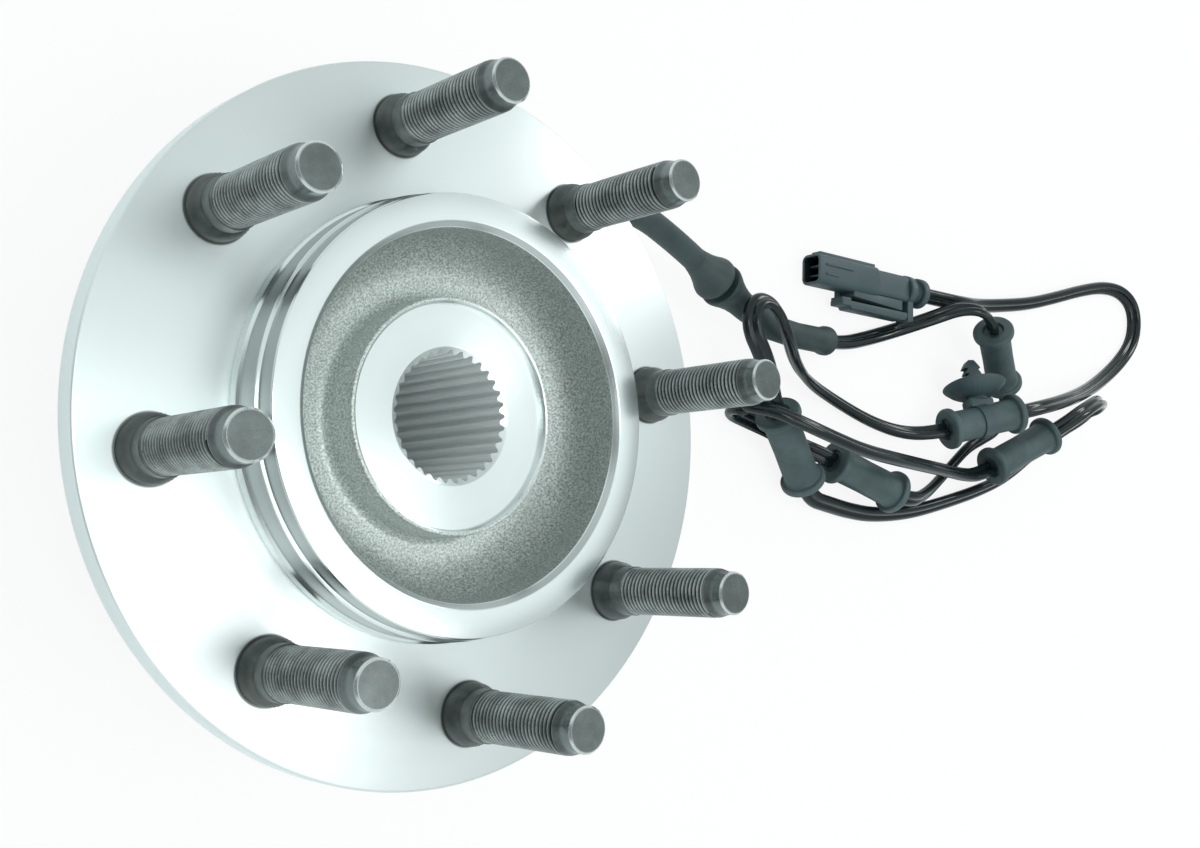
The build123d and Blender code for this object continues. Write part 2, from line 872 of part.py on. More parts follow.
def make_connector_housing():
    shroud = extrude(RectangleRounded(housing_width, housing_height, housing_corner), shroud_length)
    slim_width = housing_width - 2 * shroud_step
    slim_height = housing_height - 2 * shroud_step
    slim_corner = housing_corner - shroud_step
    body = shroud + extrude(RectangleRounded(slim_width, slim_height, slim_corner), housing_length)
    inner_width = housing_width - 2 * housing_wall
    inner_height = housing_height - 2 * housing_wall
    body -= extrude(RectangleRounded(inner_width, inner_height, housing_corner - housing_wall), socket_depth)
    above = (Align.MIN, Align.CENTER, Align.MIN)
    centred = (Align.CENTER, Align.CENTER, Align.MIN)
    rail_reach = shroud_length - rail_start
    body += Pos(-housing_width / 2 - rail_height, 0, rail_start) * Box(
        2 * rail_height, rail_width, rail_reach, align=above
    )
    rib = Box(rib_width, housing_height + 2 * rib_height, rail_reach, align=centred)
    cavity = Box(inner_width, inner_height, shroud_length, align=centred)
    for side in (-1, 1):
        body += Pos(side * rib_spacing / 2, 0, rail_start) * rib - cavity
    shelf = Box(2 * shelf_height, latch_width, shelf_length, align=above)
    body += Pos(housing_width / 2 - shelf_height, 0, shelf_start) * shelf - cavity
    body += Pos(0, 0, yoke_start) * Box(latch_outside, latch_width, yoke_thickness, align=above)
    body += Pos(0, 0, yoke_start) * Cylinder(rear_cap_radius, yoke_thickness, align=centred)
    return connector_seat.location * body


def make_connector_pins():
    pin = Pos(0, 0, pin_recess) * Cylinder(
        pin_radius, socket_depth - pin_recess, align=(Align.CENTER, Align.CENTER, Align.MIN)
    )
    pin = chamfer(pin.edges().sort_by(Axis.Z)[0], pin_radius / 2)
    return [connector_seat.location * Pos(side * pin_spacing / 2, 0, 0) * pin for side in (-1, 1)]


def make_connector_seal():
    start = yoke_start + yoke_thickness
    return connector_seat.location * turned([
        (0, start),
        (neck_radius, start),
        (neck_radius, cap_start),
        (0, cap_start),
    ])


def make_connector_cap():
    return connector_seat.location * turned([
        (0, cap_start),
        (rear_cap_radius, cap_start),
        (rear_cap_radius, cap_start + rear_cap_thickness),
        (rear_cap_exit_radius, cap_end - rear_cap_exit_width),
        (rear_cap_exit_radius, cap_end),
        (0, cap_end),
    ])


def make_latch():
    end = yoke_start - latch_hinge_gap
    arm = Pos(latch_inside, 0, latch_tip) * Box(
        latch_thickness, latch_width, end - latch_tip, align=(Align.MIN, Align.CENTER, Align.MIN)
    )
    hook = Pos(latch_inside - latch_hook_height, 0, latch_tip) * Box(
        latch_hook_height, latch_width, latch_hook_length, align=(Align.MIN, Align.CENTER, Align.MIN)
    )
    return connector_seat.location * (arm + hook)


os.makedirs("parts", exist_ok=True)

node("wheel_hub", make_wheel_hub())
node("wheel_studs", *make_studs())

cone = make_cone()
node("outboard_cone", cone)
node("inboard_cone", mirror(cone, middle))
rollers = make_rollers()
node("outboard_rollers", *rollers)
node("inboard_rollers", *[mirror(roller, middle) for roller in rollers])
cage = make_cage()
node("outboard_cage", cage)
node("inboard_cage", mirror(cage, middle))
node("tone_ring", make_tone_ring())

node("outer_ring", make_outer_ring())
seal_case = make_seal_case()
node("outboard_seal_case", seal_case)
node("inboard_seal_case", mirror(seal_case, middle))
seal_lip = make_seal_lip()
node("outboard_seal_lip", seal_lip)
node("inboard_seal_lip", mirror(seal_lip, middle))
slinger = make_slinger()
node("outboard_slinger", slinger)
node("inboard_slinger", mirror(slinger, middle))

node("speed_sensor", make_sensor())
node("sensor_o_ring", make_sensor_ring())
node("sensor_screw", make_sensor_screw())

node("lead_sleeve", make_cord("lead_sleeve", sleeve_route, sleeve_radius))
node("lead_boot", make_boot())
for number, route in enumerate(cable_routes, 1):
    name = f"cable_run_{number}"
    node(name, make_cord(name, route, cable_radius))
grommet = make_grommet()
for number, place in enumerate(grommet_places, 1):
    node(f"cable_grommet_{number}", place.location * grommet)
node("clip_strap", make_strap())
node("edge_clip", make_clip())

node("connector_housing", make_connector_housing())
node("connector_pins", *make_connector_pins())
node("connector_seal", make_connector_seal())
node("connector_rear_cap", make_connector_cap())
node("connector_latch", make_latch())
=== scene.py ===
from math import atan2, cos, hypot, pi, radians, sin

import bmesh
import bpy
from mathutils import Matrix, Vector


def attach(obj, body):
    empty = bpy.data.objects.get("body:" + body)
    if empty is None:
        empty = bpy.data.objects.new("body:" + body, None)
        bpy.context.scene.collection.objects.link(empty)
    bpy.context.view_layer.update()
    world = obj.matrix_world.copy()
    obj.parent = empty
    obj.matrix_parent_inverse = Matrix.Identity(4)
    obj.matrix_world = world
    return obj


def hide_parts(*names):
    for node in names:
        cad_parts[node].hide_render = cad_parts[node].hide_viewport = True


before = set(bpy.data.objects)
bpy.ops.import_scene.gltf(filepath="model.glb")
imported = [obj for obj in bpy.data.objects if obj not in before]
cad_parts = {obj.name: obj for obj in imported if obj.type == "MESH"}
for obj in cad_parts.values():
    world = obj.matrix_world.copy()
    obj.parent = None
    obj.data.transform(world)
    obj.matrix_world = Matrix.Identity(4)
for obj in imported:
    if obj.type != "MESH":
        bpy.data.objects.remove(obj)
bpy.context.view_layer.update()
mm = 0.001
print("frame loaded:", len(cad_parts), "nodes")


# Camera
viewpoint = {
    "place": (-0.22297, -0.00450, 0.40940),
    "forward": (0.67392, 0.02793, -0.73827),
    "right": (0.73569, -0.11704, 0.66713),
    "lens": 41.79,
    "sensor": 36,
    "nearest": 0.01,
    "shift": (-0.0179, -0.0423),
}


def placeCamera(view):
    forward = Vector(view["forward"]).normalized()
    right = Vector(view["right"]).normalized()
    up = right.cross(forward)
    lens = bpy.data.cameras.new("camera")
    lens.sensor_width = view["sensor"]
    lens.lens = view["lens"]
    lens.shift_x, lens.shift_y = view["shift"]
    lens.clip_start = view["nearest"]
    camera = bpy.data.objects.new("camera", lens)
    bpy.context.collection.objects.link(camera)
    turned = Matrix((right, up, -forward)).transposed().to_4x4()
    camera.matrix_world = Matrix.Translation(view["place"]) @ turned
    bpy.context.scene.camera = camera


placeCamera(viewpoint)


# Shader maths: a wire is a socket that can be added, multiplied and compared
class Wire:
    def __init__(self, finish, socket):
        self.finish = finish
        self.socket = socket

    def maths(self, operation, first, second=None):
        inputs = {0: first} if second is None else {0: first, 1: second}
        return self.finish.node("Math", {"operation": operation}, inputs)

    def __add__(self, other):
        return self.maths("ADD", self, other)

    def __radd__(self, other):
        return self.maths("ADD", other, self)

    def __sub__(self, other):
        return self.maths("SUBTRACT", self, other)

    def __rsub__(self, other):
        return self.maths("SUBTRACT", other, self)

    def __mul__(self, other):
        return self.maths("MULTIPLY", self, other)

    def __rmul__(self, other):
        return self.maths("MULTIPLY", other, self)

    def __mod__(self, other):
        return self.maths("FLOORED_MODULO", self, other)

    def root(self):
        return self.maths("SQRT", self)

    def __lt__(self, other):
        return self.maths("LESS_THAN", self, other)


# A finish is a material, or the world, with its nodes; each pattern below is a wire
class Finish:
    def __init__(self, name, owner=None, coordinates="Object"):
        self.owner = owner or bpy.data.materials.new(name)
        self.owner.use_nodes = True
        self.tree = self.owner.node_tree
        self.tree.nodes.clear()
        self.place = self.node("TexCoord", output=coordinates)

    def node(self, kind, settings=None, inputs=None, output=0):
        made = self.tree.nodes.new("ShaderNode" + kind)
        for key, value in (settings or {}).items():
            setattr(made, key, value)
        for key, value in (inputs or {}).items():
            if isinstance(value, Wire):
                self.tree.links.new(value.socket, made.inputs[key])
            else:
                made.inputs[key].default_value = value
        return Wire(self, made.outputs[output])

    def axis(self, name):
        return self.node("SeparateXYZ", {}, {0: self.place}, name)

    def noise(self, scale, detail=4.0, roughness=0.5, place=None):
        pattern = {"Scale": scale, "Detail": detail, "Roughness": roughness}
        return self.node("TexNoise", {}, {"Vector": place or self.place, **pattern})

    def stretched(self, scale):
        return self.node("Mapping", {}, {"Vector": self.place, "Scale": scale})

    def radius(self):
        x, y = self.axis("X"), self.axis("Y")
        return (x * x + y * y).root()

    # Rises from one level to the other as the value goes from low to high
    def step(self, value, low, high, start=0.0, end=1.0):
        inputs = {"Value": value, "From Min": low, "From Max": high, "To Min": start, "To Max": end}
        return self.node("MapRange", {"interpolation_type": "SMOOTHSTEP"}, inputs)

    def within(self, value, low, high, soft=0.0001):
        return self.step(value, low - soft, low + soft) - self.step(value, high - soft, high + soft)

    def blend(self, share, one, other):
        settings = {"data_type": "RGBA"}
        inputs = {"Factor": share, 6: solid(one), 7: solid(other)}
        return self.node("Mix", settings, inputs, 2)

    def bump(self, height, distance, strength=1.0):
        return self.node("Bump", {}, {"Height": height, "Distance": distance, "Strength": strength})

    def surface(self, **inputs):
        named = {key.replace("_", " "): value for key, value in inputs.items()}
        return self.close(self.node("BsdfPrincipled", {}, named))

    def seenByCamera(self):
        return self.node("LightPath", output="Is Camera Ray")

    def close(self, shader, kind="OutputMaterial"):
        end = self.tree.nodes.new("ShaderNode" + kind)
        self.tree.links.new(shader.socket, end.inputs["Surface"])
        return self.owner


def solid(colour):
    if isinstance(colour, Wire):
        return colour
    return (*colour, 1.0)


# Route of the lead in millimetres, close to the CAD tubes; it lies on the floor and humps over crossings
grommetSize = {
    "half": 20.8, "body": 7.8, "waist": 7.55, "rim": 10.0, "rimWidth": 3.6, "throat": 4.6, "mouth": 5.4,
    "mouthDepth": 1.6, "rimRound": 1.3, "neckRound": 1.0, "steps": 56,
}
leadSizes = {
    "sleeveWidth": 10.0,
    "sleeveSteps": 8,
    "floorGap": 0.2,
    "bootStart": Vector((169.7, 52.0, 29.0)),
    "bootWaist": Vector((205.6, 31.5, 21.0)),
    "bootEnd": Vector((268.1, 16.6, 9.5)),
    "sensorExit": Vector((20.0, 75.0, 38.0)),
    "connectorMouth": Vector((267.7, 49.8, 6.3)),
    "connectorRear": Vector((343.0, 35.0, 11.0)),
}


def lying(x, y, heading, climb, lift=0.0):
    turn, rise = radians(heading), radians(climb)
    direction = Vector((cos(turn) * cos(rise), sin(turn) * cos(rise), sin(rise)))
    height = grommetSize["rim"] * cos(rise) + grommetSize["half"] * sin(rise)
    return Vector((x, y, height + leadSizes["floorGap"] + lift)), direction


grommetPlaces = [
    lying(392.0, 0.5, 133.7, 22.0),
    lying(280.0, -46.5, -28.0, 6.0),
    lying(398.0, -47.5, 17.5, 15.0, 4.0),
    lying(229.0, -28.0, 127.0, 15.0),
    lying(365.5, -29.5, 5.0, 21.6, 3.7),
]


def front(number, lead=0.0):
    centre, direction = grommetPlaces[number - 1]
    return centre + direction * (grommetSize["half"] + lead)


def back(number, lead=0.0):
    centre, direction = grommetPlaces[number - 1]
    return centre - direction * (grommetSize["half"] + lead)


bootStart, bootEnd = leadSizes["bootStart"], leadSizes["bootEnd"]
collarDirection = (leadSizes["bootWaist"] - bootStart).normalized()
bootRoute = [
    bootStart,
    leadSizes["bootWaist"],
    Vector((218.4, 25.0, 18.5)),
    Vector((238.8, 20.2, 14.0)),
    bootEnd,
]
bootDirection = (bootRoute[-1] - bootRoute[-2]).normalized()
connectorRear = leadSizes["connectorRear"]
connectorAxis = (connectorRear - leadSizes["connectorMouth"]).normalized()
sensorExit = leadSizes["sensorExit"]

sleeveRoute = [
    sensorExit,
    sensorExit + Vector((26, 0, 0)),
    (92, 76.5, 37.5),
    (134, 70.5, 35.6),
    bootStart - collarDirection * 12,
    bootStart,
]
cableRoutes = [
    [
        bootEnd,
        bootEnd + bootDirection * 14,
        (305, 16.5, 3.8),
        (329, 19.5, 3.8),
        (348, 23, 9),
        (361, 27, 21),
        front(1, 12),
        front(1),
    ],
    [
        back(1),
        back(1, 9),
        (412.5, -28.5, 3.9),
        (405, -36, 3.8),
        (392, -39, 3.8),
        (377, -42, 3.8),
        (363, -48.5, 3.8),
        (347.5, -55.5, 4.5),
        (328, -60, 10),
        front(2, 11),
        front(2),
    ],
    [
        back(2),
        back(2, 8),
        (245.5, -28, 5.5),
        (231, -20, 3.8),
        (217, -14, 3.8),
        (206, -10, 5.5),
        (200, -7.5, 12.5),
        (199, -8, 22.5),
        (204, -11, 31.5),
        (213, -17.5, 37.5),
        (231, -25, 37.5),
        (253, -33, 35.5),
        (282, -39.5, 30),
        (316, -46, 21),
        (339.5, -50.5, 15),
        (355, -54, 12),
        back(3, 9.5),
        back(3),
    ],
    [
        front(3),
        front(3, 12),
        (446, -31.5, 31),
        (467.5, -28.5, 27),
        (486, -29.5, 19),
        (490, -34.5, 11),
        (484, -39.5, 4.5),
        (468, -43, 3.8),
        (438, -51, 3.8),
        (408, -61, 3.8),
        (380, -65, 3.8),
        (350, -67, 3.8),
        (322, -68, 3.8),
        (294, -65.5, 3.8),
        (276, -61, 4),
        (260, -56, 6),
        back(4, 10),
        back(4),
    ],
    [
        front(4),
        front(4, 8),
        (206, 3, 28.5),
        (197, 12, 34.5),
        (190.5, 22, 36),
        (192.5, 31, 36),
        (200, 34.5, 35.5),
        (208, 30.5, 35.5),
        (214, 20, 34),
        (230, 9, 22),
        (252, 0, 9),
        (275, -10, 3.8),
        (300, -22.5, 3.8),
        (322, -30, 5),
        back(5, 9),
        back(5),
    ],
    [
        front(5),
        front(5, 14),
        (434, -25.5, 27),
        (477, -23, 15),
        (514, -17.5, 6),
        (539, -9.5, 3.8),
        (556, 0.5, 3.8),
        (563, 12.5, 3.8),
        (562, 24, 3.8),
        (550, 32, 3.8),
        (530, 35, 3.8),
        (504, 33.5, 3.8),
        (477.5, 30.5, 3.8),
        (449, 28, 3.8),
        (422.5, 28, 3.8),
        (398.5, 28.5, 5),
        (374, 29.5, 12),
        connectorRear + connectorAxis * 14,
        connectorRear,
    ],
]
lineStyle = {"resolution": 8, "order": 3}


def drawRoute(name, route):
    line = bpy.data.curves.new(name, "CURVE")
    line.dimensions = "3D"
    line.resolution_u = lineStyle["resolution"]
    spline = line.splines.new("NURBS")
    spline.points.add(len(route) - 1)
    for point, place in zip(spline.points, route):
        point.co = (*(Vector(place) * mm), 1.0)
    spline.order_u = lineStyle["order"]
    spline.use_endpoint_u = True
    cord = bpy.data.objects.new(name, line)
    bpy.context.collection.objects.link(cord)
    return cord


def measureRoute(cord):
    mesh = bpy.data.meshes.new_from_object(cord)
    points = [vertex.co.copy() for vertex in mesh.vertices]
    bpy.data.meshes.remove(mesh)
    return sum((after - before).length for before, after in zip(points, points[1:])), points


# A form becomes a piece, which names its body, the CAD node it replaces and its finishes
sharpAngles = {"part": 35, "cord": 50}
sameSpot = 1e-7


def keepAs(name, mesh):
    piece = bpy.data.objects.new(name, mesh)
    bpy.context.collection.objects.link(piece)
    return piece


def smooth(piece, angle):
    piece.data.shade_smooth()
    piece.data.set_sharp_from_angle(angle=radians(angle))
    return piece


def finishForm(name, form, angle=sharpAngles["part"]):
    mesh = bpy.data.meshes.new(name)
    form.to_mesh(mesh)
    form.free()
    return smooth(keepAs(name, mesh), angle)


def dress(piece, body, node, slot, *finishes):
    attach(piece, body)
    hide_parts(node)
    for finish in finishes:
        piece.data.materials.append(finish)


# Cords
twinLead = {"coreRadius": 2.15, "coreSpacing": 3.7, "reach": 147, "steps": 14, "roll": -45}


def twinSection(size):
    outline = bpy.data.curves.new("twinSection", "CURVE")
    outline.dimensions = "2D"
    half = size["coreSpacing"] / 2
    reach = radians(size["reach"])
    points = []
    for side in (1, -1):
        for step in range(size["steps"]):
            angle = -reach + 2 * reach * step / (size["steps"] - 1)
            across = side * (half + size["coreRadius"] * cos(angle))
            points.append((across, side * size["coreRadius"] * sin(angle)))
    spline = outline.splines.new("POLY")
    spline.points.add(len(points) - 1)
    for point, (x, y) in zip(spline.points, points):
        point.co = (x * mm, y * mm, 0, 1)
    spline.use_cyclic_u = True
    section = bpy.data.objects.new("twinSection", outline)
    bpy.context.collection.objects.link(section)
    return section


# The pieces at the end of each cable run
cordPieces = [
    ["grommet1"],
    ["grommet2"],
    ["grommet3"],
    ["grommet4"],
    ["grommet5", "edgeClip", "clip_strap"],
    ["connectorCap", "connectorSeal", "connectorHousing", "connectorLatch", "connector_pins"],
]


# A thick line as a closed mesh with its faces outward
def asMesh(name, line):
    line.data.use_fill_caps = True
    thick = line.evaluated_get(bpy.context.evaluated_depsgraph_get())
    mesh = bpy.data.meshes.new_from_object(thick)
    bpy.data.objects.remove(line)
    form = bmesh.new()
    form.from_mesh(mesh)
    bpy.data.meshes.remove(mesh)
    bmesh.ops.remove_doubles(form, verts=form.verts, dist=sameSpot)
    bmesh.ops.recalc_face_normals(form, faces=form.faces)
    return finishForm(name, form, sharpAngles["cord"])


def makeSleeve():
    line = drawRoute("sleeveLine", sleeveRoute)
    length, points = measureRoute(line)
    line.data.bevel_depth = leadSizes["sleeveWidth"] / 2 * mm
    line.data.bevel_resolution = leadSizes["sleeveSteps"]
    sleeve = asMesh("sleeve", line)
    dress(sleeve, "housing", "lead_sleeve", "sleeve_rubber", rubber)


def makeCable(number, route, section):
    line = drawRoute("cableLine", route)
    length, points = measureRoute(line)
    for point in line.data.splines[0].points:
        point.tilt = radians(twinLead["roll"])
    line.data.twist_mode = "Z_UP"
    line.data.bevel_mode = "OBJECT"
    line.data.bevel_object = section
    cable = asMesh(f"cable{number}", line)
    dress(cable, "housing", f"cable_run_{number}", "cable_jacket", jacket)
    end = "fitting" if number < len(cableRoutes) else "connector"
    cordPieces[number - 1]


# Round pieces are turned from half an outline, with some of its corners rounded first
roundSegments = {"small": 3, "large": 10, "largeFrom": 1}


def turn(outline, steps, rounds=None):
    form = bmesh.new()
    points = [form.verts.new((radius * mm, 0, height * mm)) for radius, height in outline]
    for pair in zip(points, points[1:]):
        form.edges.new(pair)
    for corner, offset in (rounds or {}).items():
        segments = roundSegments["small"] if offset < roundSegments["largeFrom"] else roundSegments["large"]
        bmesh.ops.bevel(form, geom=[points[corner]], offset=offset * mm, offset_type="OFFSET",
                        segments=segments, profile=0.5, affect="VERTICES", material=-1)
    bmesh.ops.spin(form, geom=form.verts[:] + form.edges[:], cent=(0, 0, 0), axis=(0, 0, 1),
                   dvec=(0, 0, 0), angle=2 * pi, steps=steps, use_merge=True, use_duplicate=False)
    bmesh.ops.remove_doubles(form, verts=form.verts, dist=sameSpot)
    bmesh.ops.recalc_face_normals(form, faces=form.faces)
    return form


def gathered(parts):
    whole = bmesh.new()
    mesh = bpy.data.meshes.new("gatheredPart")
    for part in parts:
        part.to_mesh(mesh)
        whole.from_mesh(mesh)
        part.free()
    return whole


def joined(parts):
    whole = gathered(parts)
    bmesh.ops.recalc_face_normals(whole, faces=whole.faces)
    return whole


# Wheel studs
studSize = {
    "circle": 82.55, "count": 8, "face": 86.0, "turnEach": 3,
    "headRadius": 11.5, "headBottom": -13.0, "headTop": -8.5, "headChamfer": 0.6,
    "knurlRadius": 8.65, "knurlTop": 3.6, "knurlDepth": 0.985, "knurlSteps": 96,
    "neckRadius": 7.3, "neckFlare": 0.3, "neckBottom": 6.4, "neckTop": 10.9, "neckChamfer": 0.4,
    "crest": 7.0, "root": 6.3, "crestShare": (0.42, 0.58), "pitch": 1.5, "threadTop": 45.4, "turnSteps": 40,
    "pointRadius": 6.15, "pointHeight": 48.0, "pointRise": 0.3, "runOut": (0.1, 0.2),
    "tipRadius": 6.05, "length": 51.4, "tipChamfer": 0.5, "tipSteps": 64,
}


def makeStudForm(size):
    shank = turn([
        (0, size["headBottom"]),
        (size["headRadius"] - size["headChamfer"], size["headBottom"]),
        (size["headRadius"], size["headBottom"] + size["headChamfer"]),
        (size["headRadius"], size["headTop"]),
        (size["knurlRadius"], size["headTop"]),
        (size["knurlRadius"], size["knurlTop"]),
        (size["neckRadius"] + size["neckFlare"], size["neckBottom"] - size["neckChamfer"]),
        (size["neckRadius"], size["neckBottom"]),
        (size["neckRadius"], size["neckTop"] - size["neckChamfer"]),
        (size["neckRadius"] - size["neckChamfer"], size["neckTop"]),
        (0, size["neckTop"]),
    ], size["knurlSteps"])
    for vertex in shank.verts:
        radius = hypot(vertex.co.x, vertex.co.y)
        turnShare = atan2(vertex.co.y, vertex.co.x) / (2 * pi) * size["knurlSteps"]
        if abs(radius - size["knurlRadius"] * mm) < 1e-6 and round(turnShare) % 2:
            vertex.co.x *= size["knurlDepth"]
            vertex.co.y *= size["knurlDepth"]
    tip = turn([
        (0, size["threadTop"] - size["pitch"]),
        (size["root"], size["threadTop"] - size["pitch"]),
        (size["crest"] - size["runOut"][0], size["threadTop"] - size["runOut"][1]),
        (size["pointRadius"], size["pointHeight"]),
        (size["tipRadius"], size["pointHeight"] + size["pointRise"]),
        (size["tipRadius"], size["length"] - size["tipChamfer"]),
        (size["tipRadius"] - size["tipChamfer"], size["length"]),
        (0, size["length"]),
    ], size["tipSteps"])
    thread = bmesh.new()
    bottom = size["neckTop"] - size["pitch"]
    turns = int((size["threadTop"] - bottom) / size["pitch"]) - 1
    rise, fall = size["crestShare"]
    heights = [(size["root"], 0), (size["crest"], rise), (size["crest"], fall), (size["root"], 1)]
    ridge = [
        thread.verts.new((radius * mm, 0, (bottom + share * size["pitch"]) * mm))
        for radius, share in heights
    ]
    edges = [thread.edges.new(pair) for pair in zip(ridge, ridge[1:])]
    steps = turns * size["turnSteps"]
    bmesh.ops.spin(thread, geom=ridge + edges, cent=(0, 0, 0), axis=(0, 0, 1),
                   dvec=(0, 0, size["pitch"] * mm / size["turnSteps"]), angle=2 * pi * turns,
                   steps=steps, use_merge=False, use_duplicate=False)
    bmesh.ops.remove_doubles(thread, verts=thread.verts, dist=1e-6)
    ends = [edge for edge in thread.edges if edge.is_boundary]
    bmesh.ops.holes_fill(thread, edges=ends, sides=0)
    bmesh.ops.recalc_face_normals(thread, faces=thread.faces)
    stud = gathered([shank, thread, tip])
    mesh = bpy.data.meshes.new("stud")
    stud.to_mesh(mesh)
    stud.free()
    return mesh


# Distance from the axis of the nearest stud
def fromStud(finish):
    part = 2 * pi / studSize["count"]
    x, y = finish.axis("X"), finish.axis("Y")
    folded = (y.maths("ARCTAN2", y, x) + part / 2) % part - part / 2
    radius = (x * x + y * y).root()
    along = radius * folded.maths("COSINE", folded) - studSize["circle"] * mm
    aside = radius * folded.maths("SINE", folded)
    return (along * along + aside * aside).root()


# Zones of the studs' finish in metres, from where each starts to where it is full
studZones = {
    "threadStart": (0.0965, 0.0972), "threadEnd": (0.1310, 0.1316), "crest": (0.00665, 0.00692),
    "root": (0.00665, 0.00640), "tip": (0.1330, 0.1342), "highlightRadius": (0.0052, 0.0058),
    "highlightHeight": (0.13665, 0.1370), "end": (0.13715, 0.13735), "collar": (0.0965, 0.090),
}


# Phosphate coat; the crests rubbed bright and painted brighter as highlight lines, a painted highlight ring
# on the tip's edge, and painted shade in the thread roots
def makePhosphateFinish():
    finish = Finish("phosphate")
    z = finish.axis("Z")
    radius = fromStud(finish)
    grain = finish.noise(1600.0, 3.0, 0.6)
    cloud = finish.noise(120.0, 4.0, 0.65)
    patch = finish.step(cloud, 0.3, 0.7)
    threaded = finish.step(z, *studZones["threadStart"]) - finish.step(z, *studZones["threadEnd"])
    crest = finish.step(radius, *studZones["crest"]) * threaded
    root = finish.step(radius, *studZones["root"]) * threaded
    tip = finish.step(z, *studZones["tip"])
    edge = finish.step(radius, *studZones["highlightRadius"]) * finish.step(z, *studZones["highlightHeight"])
    end = finish.step(z, *studZones["end"])
    stain = finish.step(z, *studZones["collar"]) * finish.step(cloud, 0.4, 0.6)
    tone = finish.blend(patch, (0.075, 0.086, 0.083), (0.150, 0.172, 0.168))
    tone = finish.blend(stain * 0.35, tone, (0.075, 0.055, 0.044))
    # Painted shade: the thread roots darkened almost to black
    tone = finish.blend(root * 0.92, tone, (0.008, 0.010, 0.010))
    # Crests rubbed bright, and lifted further as painted highlight lines
    tone = finish.blend(crest * (patch * 0.4 + 0.3), tone, (0.56, 0.61, 0.60))
    # Painted highlight: the point lighter; the end face darker
    tone = finish.blend(tip * 0.5 - end * 0.2, tone, (0.27, 0.31, 0.305))
    # Painted highlight: a bright ring round the edge of the stud's tip
    tone = finish.blend(edge * 0.8, tone, (0.80, 0.85, 0.84))
    rough = 0.30 + grain * 0.14 - crest * 0.08 - edge * 0.1 - tip * 0.08
    return finish.surface(Base_Color=tone, Metallic=0.8, Roughness=rough,
                          Normal=finish.bump(grain, 0.00003, 0.5))


def makeStuds(size):
    one = makeStudForm(size)
    circle = bmesh.new()
    for number in range(size["count"]):
        angle = 2 * pi * number / size["count"]
        before = len(circle.verts)
        circle.from_mesh(one)
        circle.verts.ensure_lookup_table()
        seat = Vector((size["circle"] * cos(angle), size["circle"] * sin(angle), size["face"]))
        place = Matrix.Translation(seat * mm) @ Matrix.Rotation(angle * size["turnEach"], 4, "Z")
        bmesh.ops.transform(circle, matrix=place, verts=circle.verts[before:])
    dress(finishForm("studs", circle), "hub", "wheel_studs", "phosphated_steel", makePhosphateFinish())


makeStuds(studSize)
print("studs threaded")


# Wheel hub; the rounds are radii by the number of the outline's corner
hubSize = {
    "foot": 2.0, "lipRadius": 41.0, "lipTop": 5.5, "spindle": 33.0,
    "shoulder": 46.5, "shoulderHeight": 70.5, "webBack": 75.0, "webEdge": 68.3,
    "rimStart": 70.3, "rimBack": 77.5, "rim": 101.0, "face": 86.0,
    "pilotFoot": 61.9, "footTop": 3.75, "rotorPilot": 61.1, "rotorStart": 4.45, "rotorTop": 12.15,
    "wheelPilot": 60.16, "wheelStart": 12.5, "pilotTop": 19.3, "lipChamfer": 1.6,
    "recessWall": 50.8, "recessFloor": 83.0, "recessTop": 103.9,
    "bossRadius": 32.9, "bossFace": 31.2, "bossTop": 10.5, "nutSeat": 94.5,
    "splineTeeth": 33, "toothSteps": 8, "toothTip": 17.25, "toothRoot": 18.5,
    "toothShape": (0, 0.05, 0.45, 0.92, 1, 0.92, 0.45, 0.05),
    "boreMouth": 19.2, "mouthDepth": 1.1, "footDepth": 2.0, "footSlope": -0.6, "boreEnds": (4, 93.5),
    "rounds": {2: 2.0, 7: 2.5, 10: 0.8, 11: 0.8, 13: 0.25, 15: 0.2, 17: 0.5, 18: 0.25,
               20: 12.5, 21: 3.0, 22: 0.5, 23: 1.1, 25: 0.2},
}


# Zones of the hub's finishes in metres, from where each starts to where it is full
hubZones = {
    "ground": (0.0868, 0.0875), "rotorWall": (0.0906, 0.0980), "wheelWall": (0.0987, 0.1048),
    "wallRadius": (0.0596, 0.0600), "lip": (0.0510, 0.0523), "studSeatShade": (0.0095, 0.0089),
    "paintedBossLight": (0.0440, 0.0370), "toothDepth": (0.0175, 0.0184),
}


# Lathe rings are noise over the distance from the axis and the height alone
def makeTurnedFinish():
    finish = Finish("turnedSteel")
    radius, z = finish.radius(), finish.axis("Z")
    section = finish.node("CombineXYZ", {}, {0: radius, 1: z})
    rings = finish.noise(2600.0, 3.0, 0.6, section)
    bands = finish.noise(260.0, 2.0, 0.5, section)
    cloud = finish.noise(28.0, 3.0)
    ground = finish.step(z, *hubZones["ground"])
    tone = finish.blend(cloud, (0.78, 0.84, 0.835), (0.86, 0.91, 0.905))
    # Painted dark reflections on the pilot walls and painted shade on the recess lip chamfer
    walls = finish.within(z, *hubZones["rotorWall"]) + finish.within(z, *hubZones["wheelWall"])
    lip = finish.within(radius, *hubZones["lip"]) * ground
    paintedShadeAndReflection = walls * finish.step(radius, *hubZones["wallRadius"]) * 0.66 + lip * 0.5
    tone = finish.blend(paintedShadeAndReflection, tone, (0.30, 0.33, 0.33))
    # Painted shade: a dark ring round the foot of each stud
    seat = finish.step(fromStud(finish), *hubZones["studSeatShade"])
    tone = finish.blend(seat * 0.85, tone, (0.05, 0.055, 0.055))
    rough = 0.33 - ground * 0.13 + rings * 0.03 + bands * 0.05
    return finish.surface(Base_Color=tone, Metallic=1.0, Roughness=rough, Anisotropic=0.8,
                          Anisotropic_Rotation=0.25, Normal=finish.bump(rings, 0.000004, 0.2))


